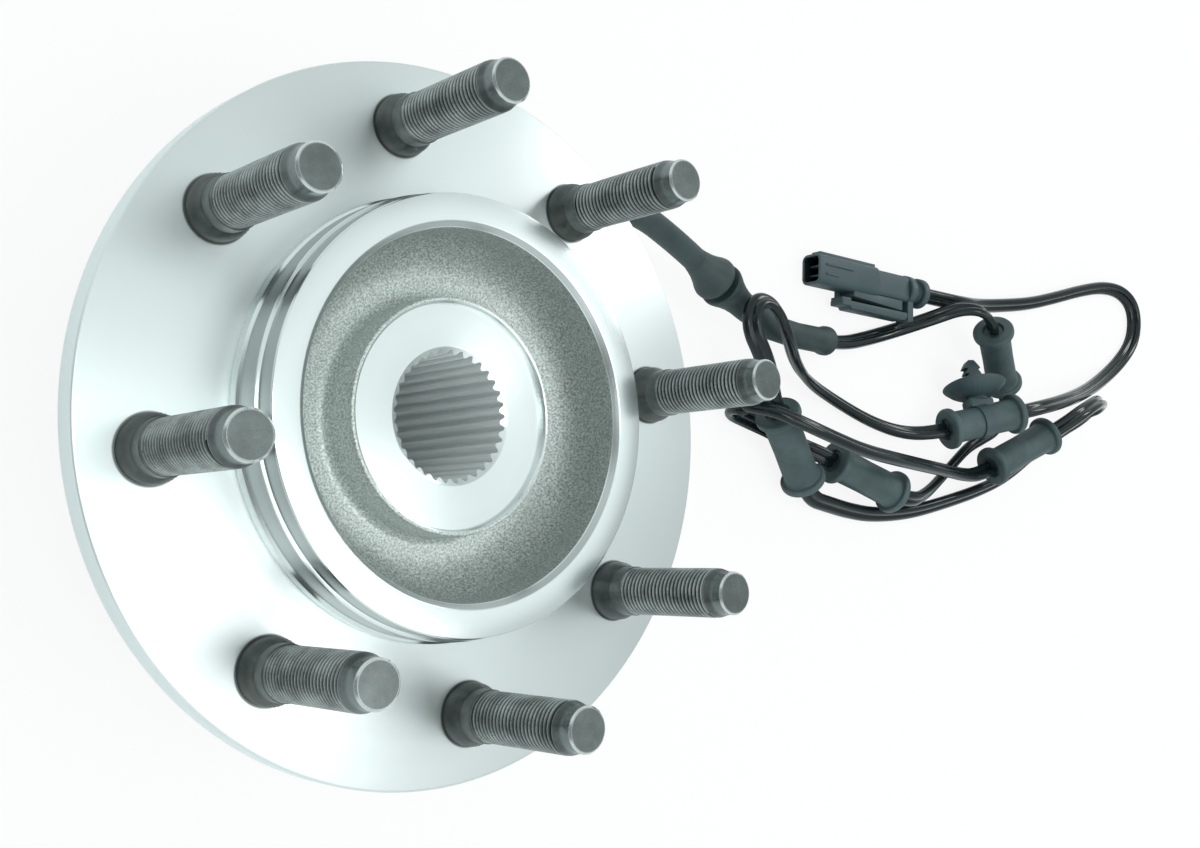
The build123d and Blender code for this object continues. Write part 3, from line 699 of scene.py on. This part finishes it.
def makeBlastedFinish():
    finish = Finish("blastedForging")
    # Mask of the painted light near the boss
    corner = finish.step(finish.radius(), *hubZones["paintedBossLight"])
    grain = finish.noise(1700.0, 3.0, 0.7)
    pits = finish.noise(750.0, 2.0, 0.5)
    blotch = finish.noise(90.0, 3.0, 0.6)
    speck = finish.step(grain, 0.34, 0.66)
    tone = finish.blend(speck, (0.235, 0.26, 0.25), (0.66, 0.715, 0.685))
    tone = finish.blend(finish.step(blotch, 0.35, 0.7) * 0.25, tone, (0.39, 0.43, 0.41))
    # Painted light: the recess lightened near the boss, where the corner's shade falls
    tone = finish.blend(corner * 0.8, tone, finish.blend(speck, (0.42, 0.46, 0.44), (0.92, 0.98, 0.95)))
    return finish.surface(Base_Color=tone, Metallic=0.5, Roughness=0.32 + grain * 0.16,
                          Normal=finish.bump(grain * 0.5 + pits * 0.5, 0.0003, 0.8))


# Broached bore: bright tooth tips, painted shade in the tooth roots, and drag lines along the teeth
def makeBroachedFinish():
    finish = Finish("broachedSteel")
    root = finish.step(finish.radius(), *hubZones["toothDepth"])
    lines = finish.noise(1500.0, 3.0, 0.6, finish.stretched((1, 1, 0.02)))
    tone = finish.blend(finish.step(lines, 0.3, 0.7), (0.80, 0.86, 0.85), (0.97, 0.99, 0.99))
    # Painted shade: the tooth roots darker
    tone = finish.blend(root * 0.4, tone, (0.50, 0.54, 0.53))
    return finish.surface(Base_Color=tone, Metallic=0.0, Roughness=0.36 + lines * 0.15,
                          Normal=finish.bump(lines, 0.0001, 0.5))


def makeHub(size):
    face, foot = size["face"], size["foot"]
    outline = [
        (size["toothTip"], foot + size["footDepth"]),
        (size["boreMouth"], foot),
        (size["lipRadius"], foot),
        (size["lipRadius"], size["lipTop"]),
        (size["spindle"], size["lipTop"]),
        (size["spindle"], size["shoulderHeight"]),
        (size["shoulder"], size["shoulderHeight"]),
        (size["shoulder"], size["webBack"]),
        (size["webEdge"], size["webBack"]),
        (size["rimStart"], size["rimBack"]),
        (size["rim"], size["rimBack"]),
        (size["rim"], face),
        (size["pilotFoot"], face),
        (size["pilotFoot"], face + size["footTop"]),
        (size["rotorPilot"], face + size["rotorStart"]),
        (size["rotorPilot"], face + size["rotorTop"]),
        (size["wheelPilot"], face + size["wheelStart"]),
        (size["wheelPilot"], face + size["pilotTop"]),
        (size["recessWall"] + size["lipChamfer"], face + size["pilotTop"]),
        (size["recessWall"], face + size["pilotTop"] - size["lipChamfer"]),
        (size["recessWall"], size["recessFloor"]),
        (size["bossRadius"], size["recessFloor"]),
        (size["bossRadius"], face + size["bossTop"]),
        (size["bossFace"], face + size["bossTop"]),
        (size["bossFace"], size["nutSeat"]),
        (size["boreMouth"], size["nutSeat"]),
        (size["toothTip"], size["nutSeat"] - size["mouthDepth"]),
        (size["toothTip"], foot + size["footDepth"]),
    ]
    steps = size["splineTeeth"] * size["toothSteps"]
    hub = turn(outline, steps, size["rounds"])
    cutTeeth(hub, size, steps)
    for part in hub.faces:
        part.material_index = hubZone(part.calc_center_median() / mm, size)
    dress(finishForm("hub", hub), "hub", "wheel_hub", "machined_steel",
          makeTurnedFinish(), makeBlastedFinish(), makeBroachedFinish())


# The bore's ring of vertices moves out to the teeth's roots, and along its cones at both mouths
def cutTeeth(hub, size, steps):
    depth = size["toothRoot"] - size["toothTip"]
    topSlope = size["mouthDepth"] / (size["boreMouth"] - size["toothTip"])
    for vertex in hub.verts:
        if hypot(vertex.co.x, vertex.co.y) > (size["toothTip"] + 0.01) * mm:
            continue
        step = round(atan2(vertex.co.y, vertex.co.x) / (2 * pi) * steps)
        cut = size["toothShape"][step % size["toothSteps"]] * depth
        slope = topSlope if vertex.co.z > size["face"] / 2 * mm else size["footSlope"]
        vertex.co.x *= 1 + cut / size["toothTip"]
        vertex.co.y *= 1 + cut / size["toothTip"]
        vertex.co.z += cut * mm * slope


# Finish of a face by its place: 0 turned, 1 forged and blasted, 2 broached or left rough
def hubZone(centre, size):
    radius, height = hypot(centre.x, centre.y), centre.z
    boreStart, boreEnd = size["boreEnds"]
    inRecess = size["bossRadius"] - 1 < radius < size["recessWall"] + 0.1
    if inRecess and size["recessFloor"] - 1 < height < size["recessTop"] - 0.3:
        return 1
    inBore = radius < size["toothRoot"] and boreStart < height < boreEnd
    onBack = height < size["rimBack"] - 0.01 and radius < size["rim"] - 0.2
    return 2 if inBore or onBack else 0


makeHub(hubSize)
print("hub turned")


# Rubber, jacket and plastic
def makeRubberFinish(name, dark, light):
    finish = Finish(name)
    bloom = finish.noise(70.0, 4.0, 0.6)
    grain = finish.noise(1500.0, 2.0, 0.5)
    tone = finish.blend(finish.step(bloom, 0.3, 0.75), dark, light)
    return finish.surface(Base_Color=tone, Roughness=0.42 + bloom * 0.16 + grain * 0.06,
                          Normal=finish.bump(grain, 0.00004, 0.5))


def makeJacketFinish():
    finish = Finish("cableJacket")
    scuff = finish.noise(45.0, 3.0, 0.55)
    tone = finish.blend(scuff, (0.005, 0.009, 0.010), (0.013, 0.021, 0.023))
    return finish.surface(Base_Color=tone, Roughness=0.10 + scuff * 0.08, Specular_IOR_Level=0.38,
                          Normal=finish.bump(scuff, 0.00003, 0.05))


def makeNylonFinish(name, dark, light):
    finish = Finish(name)
    grain = finish.noise(2400.0, 2.0, 0.5)
    cloud = finish.noise(60.0, 3.0, 0.5)
    tone = finish.blend(cloud, dark, light)
    return finish.surface(Base_Color=tone, Roughness=0.40 + grain * 0.14,
                          Normal=finish.bump(grain, 0.00003, 0.6))


rubber = makeRubberFinish("bootRubber", (0.020, 0.037, 0.039), (0.041, 0.066, 0.069))
# Lighter copy of the boot rubber: painted light standing in for the sky's reflection on the grommets
litGrommetRubber = makeRubberFinish("litGrommetRubber", (0.042, 0.070, 0.074), (0.076, 0.117, 0.124))
jacket = makeJacketFinish()
nylon = makeNylonFinish("mouldedNylon", (0.034, 0.058, 0.065), (0.062, 0.098, 0.108))
# Near-black nylon inside the socket: painted shade
mouth = makeNylonFinish("socketShadeNylon", (0.006, 0.010, 0.011), (0.012, 0.019, 0.021))


# Boot: rings of points along its bent line, as wide as its profile says
bootSize = {
    "steps": 40,
    "rimWidth": 2.6,
    "profile": [
        (0.0, 5.03), (3.0, 5.5), (7.0, 6.4), (10.5, 7.6), (13.0, 8.7), (14.6, 9.2), (15.8, 9.2),
        (16.3, 8.7), (16.6, 5.6), (19.4, 5.6), (19.7, 8.7), (20.2, 9.2), (21.4, 9.2), (23.0, 8.7),
        (26.0, 7.6), (30.0, 6.5), (34.0, 5.9), (40.0, 5.6), (60.0, 5.5), (80.0, 5.6), (95.0, 5.7),
        (99.5, 5.8), (101.0, 6.3), (102.3, 6.6),
    ],
    "rim": [(0.6, 6.6), (0.1, 6.2), (0.0, 4.4)],
}


def alongLine(points, distance):
    for before, after in zip(points, points[1:]):
        step = (after - before).length
        if distance <= step:
            return before + (after - before) * (distance / step), (after - before).normalized()
        distance -= step
    return points[-1], (points[-1] - points[-2]).normalized()


# Faces between rings of points, closed at both ends
def skin(form, rings):
    count = len(rings[0])
    for before, after in zip(rings, rings[1:]):
        for step in range(count):
            following = (step + 1) % count
            form.faces.new((before[step], before[following], after[following], after[step]))
    form.faces.new(list(reversed(rings[0])))
    form.faces.new(rings[-1])
    return form


def makeBoot(size):
    line = drawRoute("bootLine", bootRoute)
    length, points = measureRoute(line)
    bpy.data.objects.remove(line)
    share = length / (size["profile"][-1][0] + size["rimWidth"])
    profile = [(distance * share, radius) for distance, radius in size["profile"]]
    profile += [(length - before * mm, radius) for before, radius in size["rim"]]
    form = bmesh.new()
    rings = []
    for distance, radius in profile:
        place, ahead = alongLine(points, distance)
        side = Vector((0, 0, 1)).cross(ahead).normalized()
        across = ahead.cross(side)
        rings.append([
            form.verts.new(place + (side * cos(angle) + across * sin(angle)) * radius * mm)
            for angle in [2 * pi * step / size["steps"] for step in range(size["steps"])]
        ])
    skin(form, rings)
    bmesh.ops.recalc_face_normals(form, faces=form.faces)
    dress(finishForm("boot", form), "housing", "lead_boot", "sleeve_rubber", rubber)


makeBoot(bootSize)


# Grommets: a spool with thick round rims and a tapered throat at each end
def grommetForm(size):
    half = size["half"]
    inner, floor = half - size["rimWidth"], half - size["mouthDepth"]
    side = [(0, floor), (size["throat"], floor), (size["mouth"], half), (size["rim"], half),
            (size["rim"], inner), (size["body"], inner)]
    lower = [(radius, -height) for radius, height in side]
    outline = [*lower, (size["waist"], 0), *reversed(side)]
    rim, neck = size["rimRound"], size["neckRound"]
    return turn(outline, size["steps"], {3: rim, 4: rim, 5: neck, 7: neck, 8: rim, 9: rim})


for number, (centre, direction) in enumerate(grommetPlaces, 1):
    form = grommetForm(grommetSize)
    turned = direction.to_track_quat("Z", "Y").to_matrix().to_4x4()
    bmesh.ops.transform(form, matrix=Matrix.Translation(centre * mm) @ turned, verts=form.verts)
    grommet = finishForm(f"grommet{number}", form)
    dress(grommet, "housing", f"cable_grommet_{number}", "sleeve_rubber", litGrommetRubber)
print("boot and grommets moulded")


# Connector: rounded rectangles lofted along its axis, each an inset and a distance from the mouth
connectorSize = {
    "width": 14.0, "height": 11.5, "corner": 3.0, "cornerSteps": 5, "wall": 1.3, "socket": 24.0,
    "sections": [(1.3, 24), (1.3, 0.3), (1.05, 0), (0.3, 0), (0, 0.4), (0, 39.5), (0.25, 40), (0.9, 40.2),
                 (0.9, 61.6), (1.3, 62)],
    "rail": {"middle": (-0.3, 21.5), "size": (2.6, 5.5, 37), "edge": 0.4},
    "ribs": [(-2.2, 13, 18), (2.2, 8, 8)],
    "rib": {"width": 1.0, "rise": 1.1, "edge": 0.25},
    "shelf": [(-0.8, 24.5), (2.2, 24.5), (4.0, 58), (-0.8, 58)], "shelfEdge": 0.3,
    "guard": [(-0.8, 21), (3.5, 21), (7.4, 27), (7.4, 60), (-0.8, 60)], "guardSide": (4.4, 5.4),
    "guardEdge": 0.2,
    "bridge": {"middle": 64, "length": 4, "edge": 0.5},
    "flange": [(0, 61.9), (6.6, 61.9), (7.2, 62.4), (7.2, 65.5), (6.7, 66), (0, 66)],
    "cap": [(0, 71), (6.6, 71), (7.2, 71.5), (7.2, 74.4), (6.7, 75), (4.8, 75.8), (4.8, 76.5),
            (4.5, 76.86), (0, 76.86)],
    "seal": [(0, 66), (5.4, 66), (5.0, 67.2), (5.4, 68.4), (5.0, 69.7), (5.4, 71), (0, 71)],
    "capSteps": 48, "sealSteps": 40,
}
latchSize = {
    "gap": 4.6, "thickness": 3.6, "width": 8.0, "edge": 0.35,
    "arm": [(0, 17), (2.4, 17), (2.4, 22), (3.6, 23), (3.6, 60.2), (2.4, 61.7), (0, 61.7)],
    "pad": {"middle": (-0.4, 20), "size": (2.0, 7.4, 6)},
}


def loft(sections, corners):
    form = bmesh.new()
    rings = []
    for width, height, corner, along in sections:
        ring = []
        for quarter in range(4):
            for step in range(corners):
                angle = pi / 2 * (quarter + step / (corners - 1))
                x = (width / 2 - corner) * (1 if quarter in (0, 3) else -1) + corner * cos(angle)
                y = (height / 2 - corner) * (1 if quarter < 2 else -1) + corner * sin(angle)
                ring.append(form.verts.new((x * mm, y * mm, along * mm)))
        rings.append(ring)
    return skin(form, rings)


def slab(centre, size, edge):
    form = bmesh.new()
    bmesh.ops.create_cube(form, size=1)
    bmesh.ops.scale(form, vec=Vector(size) * mm, verts=form.verts)
    bmesh.ops.bevel(form, geom=form.edges[:], offset=edge * mm, offset_type="OFFSET", segments=3,
                    profile=0.5, affect="EDGES", material=-1)
    bmesh.ops.translate(form, vec=Vector(centre) * mm, verts=form.verts)
    return form


# A flat outline of (across, along) points, given a thickness between two sides
def plate(outline, low, high, edge):
    form = bmesh.new()
    corners = [form.verts.new((across * mm, low * mm, along * mm)) for across, along in outline]
    face = form.faces.new(corners)
    lifted = bmesh.ops.extrude_face_region(form, geom=[face])["geom"]
    risen = [part for part in lifted if isinstance(part, bmesh.types.BMVert)]
    bmesh.ops.translate(form, vec=(0, (high - low) * mm, 0), verts=risen)
    bmesh.ops.recalc_face_normals(form, faces=form.faces)
    bmesh.ops.bevel(form, geom=form.edges[:], offset=edge * mm, offset_type="OFFSET", segments=2,
                    profile=0.5, affect="EDGES", material=-1)
    return form


def squared(across, ahead):
    return (across - ahead * across.dot(ahead)).normalized()


# The latch is on the connector's -Y side
def connectorPlace():
    latchSide = squared(Vector((0, -1, 0)), connectorAxis)
    turned = Matrix((latchSide, connectorAxis.cross(latchSide), connectorAxis)).transposed().to_4x4()
    return Matrix.Translation(leadSizes["connectorMouth"] * mm) @ turned


def shrunk(section, by):
    width, height, corner = section
    return width - 2 * by, height - 2 * by, corner - by


def makeConnectorBody(size):
    full = (size["width"], size["height"], size["corner"])
    body = loft([(*shrunk(full, inset), along) for inset, along in size["sections"]], size["cornerSteps"])
    hollow = shrunk(full, size["wall"])
    # Faces inside the socket take the second finish, the painted shade
    for face in body.faces:
        middle = face.calc_center_median() / mm
        inside = abs(middle.x) < hollow[0] / 2 + 0.1 and abs(middle.y) < hollow[1] / 2 + 0.1
        face.material_index = 1 if inside and middle.z < size["socket"] + 1 else 0
    return body


def moved(outline, across):
    return [(across + x, along) for x, along in outline]


# Across is measured from the axis toward the latch, and along from the mouth
def makeConnector(size, latch):
    side, halfLatch = size["width"] / 2, latch["width"] / 2
    inside = side + latch["gap"]
    outside = inside + latch["thickness"]
    rail, rib, bridge, pad = size["rail"], size["rib"], size["bridge"], latch["pad"]
    across, along = rail["middle"]
    parts = [makeConnectorBody(size), slab((across - side, 0, along), rail["size"], rail["edge"])]
    for across, middle, reach in size["ribs"]:
        form = (rib["width"], size["height"] + rib["rise"], reach)
        parts.append(slab((across, 0, middle), form, rib["edge"]))
    strip = (outside, latch["width"], bridge["length"])
    parts += [
        plate(moved(size["shelf"], side), -halfLatch, halfLatch, size["shelfEdge"]),
        plate(moved(size["guard"], side), *size["guardSide"], size["guardEdge"]),
        slab((outside / 2, 0, bridge["middle"]), strip, bridge["edge"]),
        turn(size["flange"], size["capSteps"]),
    ]
    across, along = pad["middle"]
    arm = [
        plate(moved(latch["arm"], inside), -halfLatch, halfLatch, latch["edge"]),
        slab((inside + across, 0, along), pad["size"], latch["edge"]),
    ]
    cap, seal = turn(size["cap"], size["capSteps"]), turn(size["seal"], size["sealSteps"])
    named = [
        ("connectorHousing", joined(parts), "housing", "connector_housing", [nylon, mouth]),
        ("connectorLatch", joined(arm), "latch", "connector_latch", [nylon]),
        ("connectorCap", cap, "housing", "connector_rear_cap", [nylon]),
        ("connectorSeal", seal, "housing", "connector_seal", [rubber]),
    ]
    place = connectorPlace()
    for name, form, rides, node, finishes in named:
        bmesh.ops.transform(form, matrix=place, verts=form.verts)
        slot = "sleeve_rubber" if node == "connector_seal" else "connector_plastic"
        dress(finishForm(name, form), rides, node, slot, *finishes)


makeConnector(connectorSize, latchSize)
print("connector assembled")


# Edge clip: a ribbed cup and a barbed stem on a saddle block, strapped to the last grommet
clipSize = {
    "towards": (0.25, 0.93, -0.27), "ribs": 28, "ribSteps": 4, "ribDepth": 0.006, "ribbed": (8, 14.5),
    "cup": [(0, 12.3), (4.6, 12.3), (8.6, 13.3), (12.4, 15.6), (15.2, 18.3), (15.5, 18.8), (15.0, 19.1),
            (12.0, 17.0), (8.2, 14.8), (4.2, 13.9), (0, 13.9)],
    "neck": [(0, 10.5), (5.6, 10.5), (4.8, 12.6), (0, 12.6)], "neckRound": 0.4, "neckSteps": 40,
    "block": {"centre": (0, 0, 8.6), "size": (13.0, 9.0, 5.2), "edge": 0.9},
    "stem": 3.0, "stemFoot": (20.0, 13.0), "stemDepth": 2.6, "stemEdge": 0.25, "tip": 32.0, "point": 2,
    "barb": 4.4, "barbPitch": 3.0, "barbDrop": 2.2, "barbFall": 0.2, "barbWaist": 0.6, "barbs": 3,
}


def makeClip(size):
    cup = turn(size["cup"], size["ribs"] * size["ribSteps"])
    inner, outer = size["ribbed"]
    for vertex in cup.verts:
        if inner < hypot(vertex.co.x, vertex.co.y) / mm < outer:
            wave = cos(atan2(vertex.co.y, vertex.co.x) * size["ribs"])
            vertex.co.z *= 1 + wave * size["ribDepth"]
    side = [(size["stem"] / 2, size["tip"])]
    for barb in range(size["barbs"]):
        top = size["tip"] - size["point"] - barb * size["barbPitch"]
        bottom = top - size["barbDrop"]
        side += [(size["stem"], top), (size["barb"], bottom),
                 (size["stem"] - size["barbWaist"], bottom - size["barbFall"])]
    side += [(size["stem"], height) for height in size["stemFoot"]]
    outline = side + [(-across, along) for across, along in reversed(side)]
    neck = turn(size["neck"], size["neckSteps"], {1: size["neckRound"]})
    stem = plate(outline, -size["stemDepth"], size["stemDepth"], size["stemEdge"])
    clip = joined([cup, stem, slab(**size["block"]), neck])
    centre, along = grommetPlaces[-1]
    up = Vector(size["towards"]).normalized()
    along = squared(along, up)
    turned = Matrix((along, up.cross(along), up)).transposed().to_4x4()
    bmesh.ops.transform(clip, matrix=Matrix.Translation(centre * mm) @ turned, verts=clip.verts)
    dress(finishForm("edgeClip", clip), "housing", "edge_clip", "connector_plastic", nylon)


makeClip(clipSize)
makeSleeve()
twin = twinSection(twinLead)
for number, route in enumerate(cableRoutes, 1):
    makeCable(number, route, twin)
bpy.data.objects.remove(twin)
print("cords laid")


# Plain finishes for the pieces that keep their CAD shape
metalWear = 0.1


def makeMetalFinish(name, dark, light, scale, roughness):
    finish = Finish(name)
    cloud = finish.noise(scale, 4.0, 0.6)
    fine = finish.noise(scale * 12, 3.0, 0.6)
    tone = finish.blend(cloud, dark, light)
    rough = roughness + cloud * metalWear + fine * metalWear * 0.5
    return finish.surface(Base_Color=tone, Metallic=1.0, Roughness=rough,
                          Normal=finish.bump(fine, 0.00003, 0.3))


spigotTop = 0.0121


def makeForgedFinish():
    finish = Finish("forgedRing")
    z = finish.axis("Z")
    scale = finish.noise(420.0, 4.0, 0.65)
    cloud = finish.noise(35.0, 3.0, 0.6)
    lathe = finish.noise(900.0, 2.0, 0.5, finish.node("CombineXYZ", {}, {0: finish.radius(), 1: z}))
    turnedZone = z < spigotTop
    forged = finish.blend(cloud, (0.13, 0.13, 0.13), (0.22, 0.22, 0.21))
    bright = finish.blend(lathe, (0.42, 0.44, 0.45), (0.60, 0.62, 0.63))
    tone = finish.blend(turnedZone, forged, bright)
    rough = 0.5 + scale * 0.2 - turnedZone * 0.25
    return finish.surface(Base_Color=tone, Metallic=0.9, Roughness=rough,
                          Normal=finish.bump(scale * (1.0 - turnedZone), 0.0002, 0.6))


def makeCageFinish():
    finish = Finish("cageNylon")
    cloud = finish.noise(90.0, 3.0, 0.6)
    fibre = finish.noise(900.0, 3.0, 0.6, finish.stretched((1, 1, 0.2)))
    return finish.surface(Base_Color=finish.blend(cloud, (0.09, 0.09, 0.08), (0.14, 0.135, 0.12)),
                          Roughness=0.45 + fibre * 0.15, Normal=finish.bump(fibre, 0.00003, 0.5))


def makeSealFinish():
    finish = Finish("sealRubber")
    bloom = finish.noise(120.0, 3.0, 0.6)
    return finish.surface(Base_Color=finish.blend(bloom, (0.02, 0.02, 0.02), (0.04, 0.04, 0.04)),
                          Roughness=0.5 + bloom * 0.2, Normal=finish.bump(bloom, 0.00005, 0.4))


bearing = makeMetalFinish("groundSteel", (0.50, 0.52, 0.53), (0.66, 0.68, 0.69), 60.0, 0.14)
pressed = makeMetalFinish("pressedSheet", (0.36, 0.37, 0.38), (0.52, 0.53, 0.54), 90.0, 0.30)
zinc = makeMetalFinish("zincPlate", (0.55, 0.56, 0.52), (0.72, 0.72, 0.68), 200.0, 0.25)
# The pins are painted dark as shade inside the socket
shadedTin = makeMetalFinish("shadedTinnedBrass", (0.09, 0.09, 0.08), (0.15, 0.145, 0.13), 300.0, 0.40)
sealRubber = makeSealFinish()
cageNylon = makeCageFinish()
plainFinishes = {
    "outer_ring": makeForgedFinish(),
    "speed_sensor": nylon,
    "sensor_screw": zinc,
    "sensor_o_ring": sealRubber,
    "tone_ring": pressed,
    "connector_pins": shadedTin,
    "clip_strap": nylon,
}
for side in ("outboard", "inboard"):
    plainFinishes[side + "_cone"] = bearing
    plainFinishes[side + "_rollers"] = bearing
    plainFinishes[side + "_cage"] = cageNylon
    plainFinishes[side + "_seal_case"] = pressed
    plainFinishes[side + "_slinger"] = pressed
    plainFinishes[side + "_seal_lip"] = sealRubber
for node, finish in plainFinishes.items():
    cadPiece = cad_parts[node]
    cadPiece.data.materials.clear()
    cadPiece.data.materials.append(finish)
print("finishes laid on")


# Floor
stageSize = {"floor": 6.0, "middle": (0.2, 0, -0.0002), "seen": 0.88}


def makeFloor(size):
    form = bmesh.new()
    bmesh.ops.create_grid(form, x_segments=1, y_segments=1, size=size["floor"] / 2)
    bmesh.ops.translate(form, vec=size["middle"], verts=form.verts)
    mesh = bpy.data.meshes.new("floor")
    form.to_mesh(mesh)
    form.free()
    floor = keepAs("floor", mesh)
    finish = Finish("floorPaper")
    paper = finish.node("BsdfDiffuse", {}, {"Color": (0.93, 0.95, 0.96, 1)})
    glow = finish.node("Emission", {}, {"Color": (1, 1, 1, 1), "Strength": 1.0})
    rays = finish.seenByCamera() * size["seen"]
    seen = finish.node("MixShader", {}, {0: rays, 1: paper, 2: glow})
    floor.data.materials.append(finish.close(seen))


# Sky: a white tent, brighter overhead and dimmer where its cloths stand open
skyLevel = 0.90
skyPatches = [
    {"towards": (0.28, -0.16, 0.94), "near": 0.985, "far": 0.74, "change": 0.30},
    {"towards": (-0.86, 0.0, 0.51), "near": 0.96, "far": 0.75, "change": -0.80},
    {"towards": (-0.38, 0.05, 0.92), "near": 0.995, "far": 0.980, "change": 6.5},
    {"towards": (0.30, 0.62, 0.70), "near": 0.97, "far": 0.80, "change": -0.25},
    {"towards": (0.66, -0.48, 0.58), "near": 0.98, "far": 0.89, "change": -0.45},
    {"towards": (0.95, 0.0, 0.28), "near": 0.96, "far": 0.84, "change": -0.55},
]


def makeSky():
    world = bpy.data.worlds.new("sky")
    bpy.context.scene.world = world
    sky = Finish("sky", world, "Generated")
    light = skyLevel
    for patch in skyPatches:
        towards = Vector(patch["towards"]).normalized()
        facing = sky.node("VectorMath", {"operation": "DOT_PRODUCT"}, {0: sky.place, 1: towards}, "Value")
        light = light * sky.step(facing, patch["far"], patch["near"], 1.0, 1 + patch["change"])
    tent = sky.node("Background", {}, {"Color": (0.88, 0.955, 0.95, 1), "Strength": light})
    white = sky.node("Background", {}, {"Color": (1, 1, 1, 1), "Strength": 1.0})
    seen = sky.node("MixShader", {}, {0: sky.seenByCamera(), 1: tent, 2: white})
    sky.close(seen, "OutputWorld")


lamps = [
    {"name": "tentLamp", "place": (0.15, -0.45, 1.5), "target": (0.1, 0, 0.05),
     "size": (1.4, 0.7), "power": 4},
    {"name": "stripLamp", "place": (1.25, 0.45, 0.75), "target": (0.38, -0.02, 0),
     "size": (0.5, 0.18), "power": 2},
]


def makeLamp(name, place, target, size, power):
    lamp = bpy.data.lights.new(name, "AREA")
    lamp.shape = "RECTANGLE"
    lamp.size, lamp.size_y = size
    lamp.energy = power
    holder = bpy.data.objects.new(name, lamp)
    bpy.context.collection.objects.link(holder)
    aim = (Vector(target) - Vector(place)).to_track_quat("-Z", "Y")
    holder.matrix_world = Matrix.Translation(place) @ aim.to_matrix().to_4x4()


makeFloor(stageSize)
makeSky()
for lamp in lamps:
    makeLamp(**lamp)
bpy.context.scene.view_settings.view_transform = "Standard"
print("floor and light set")
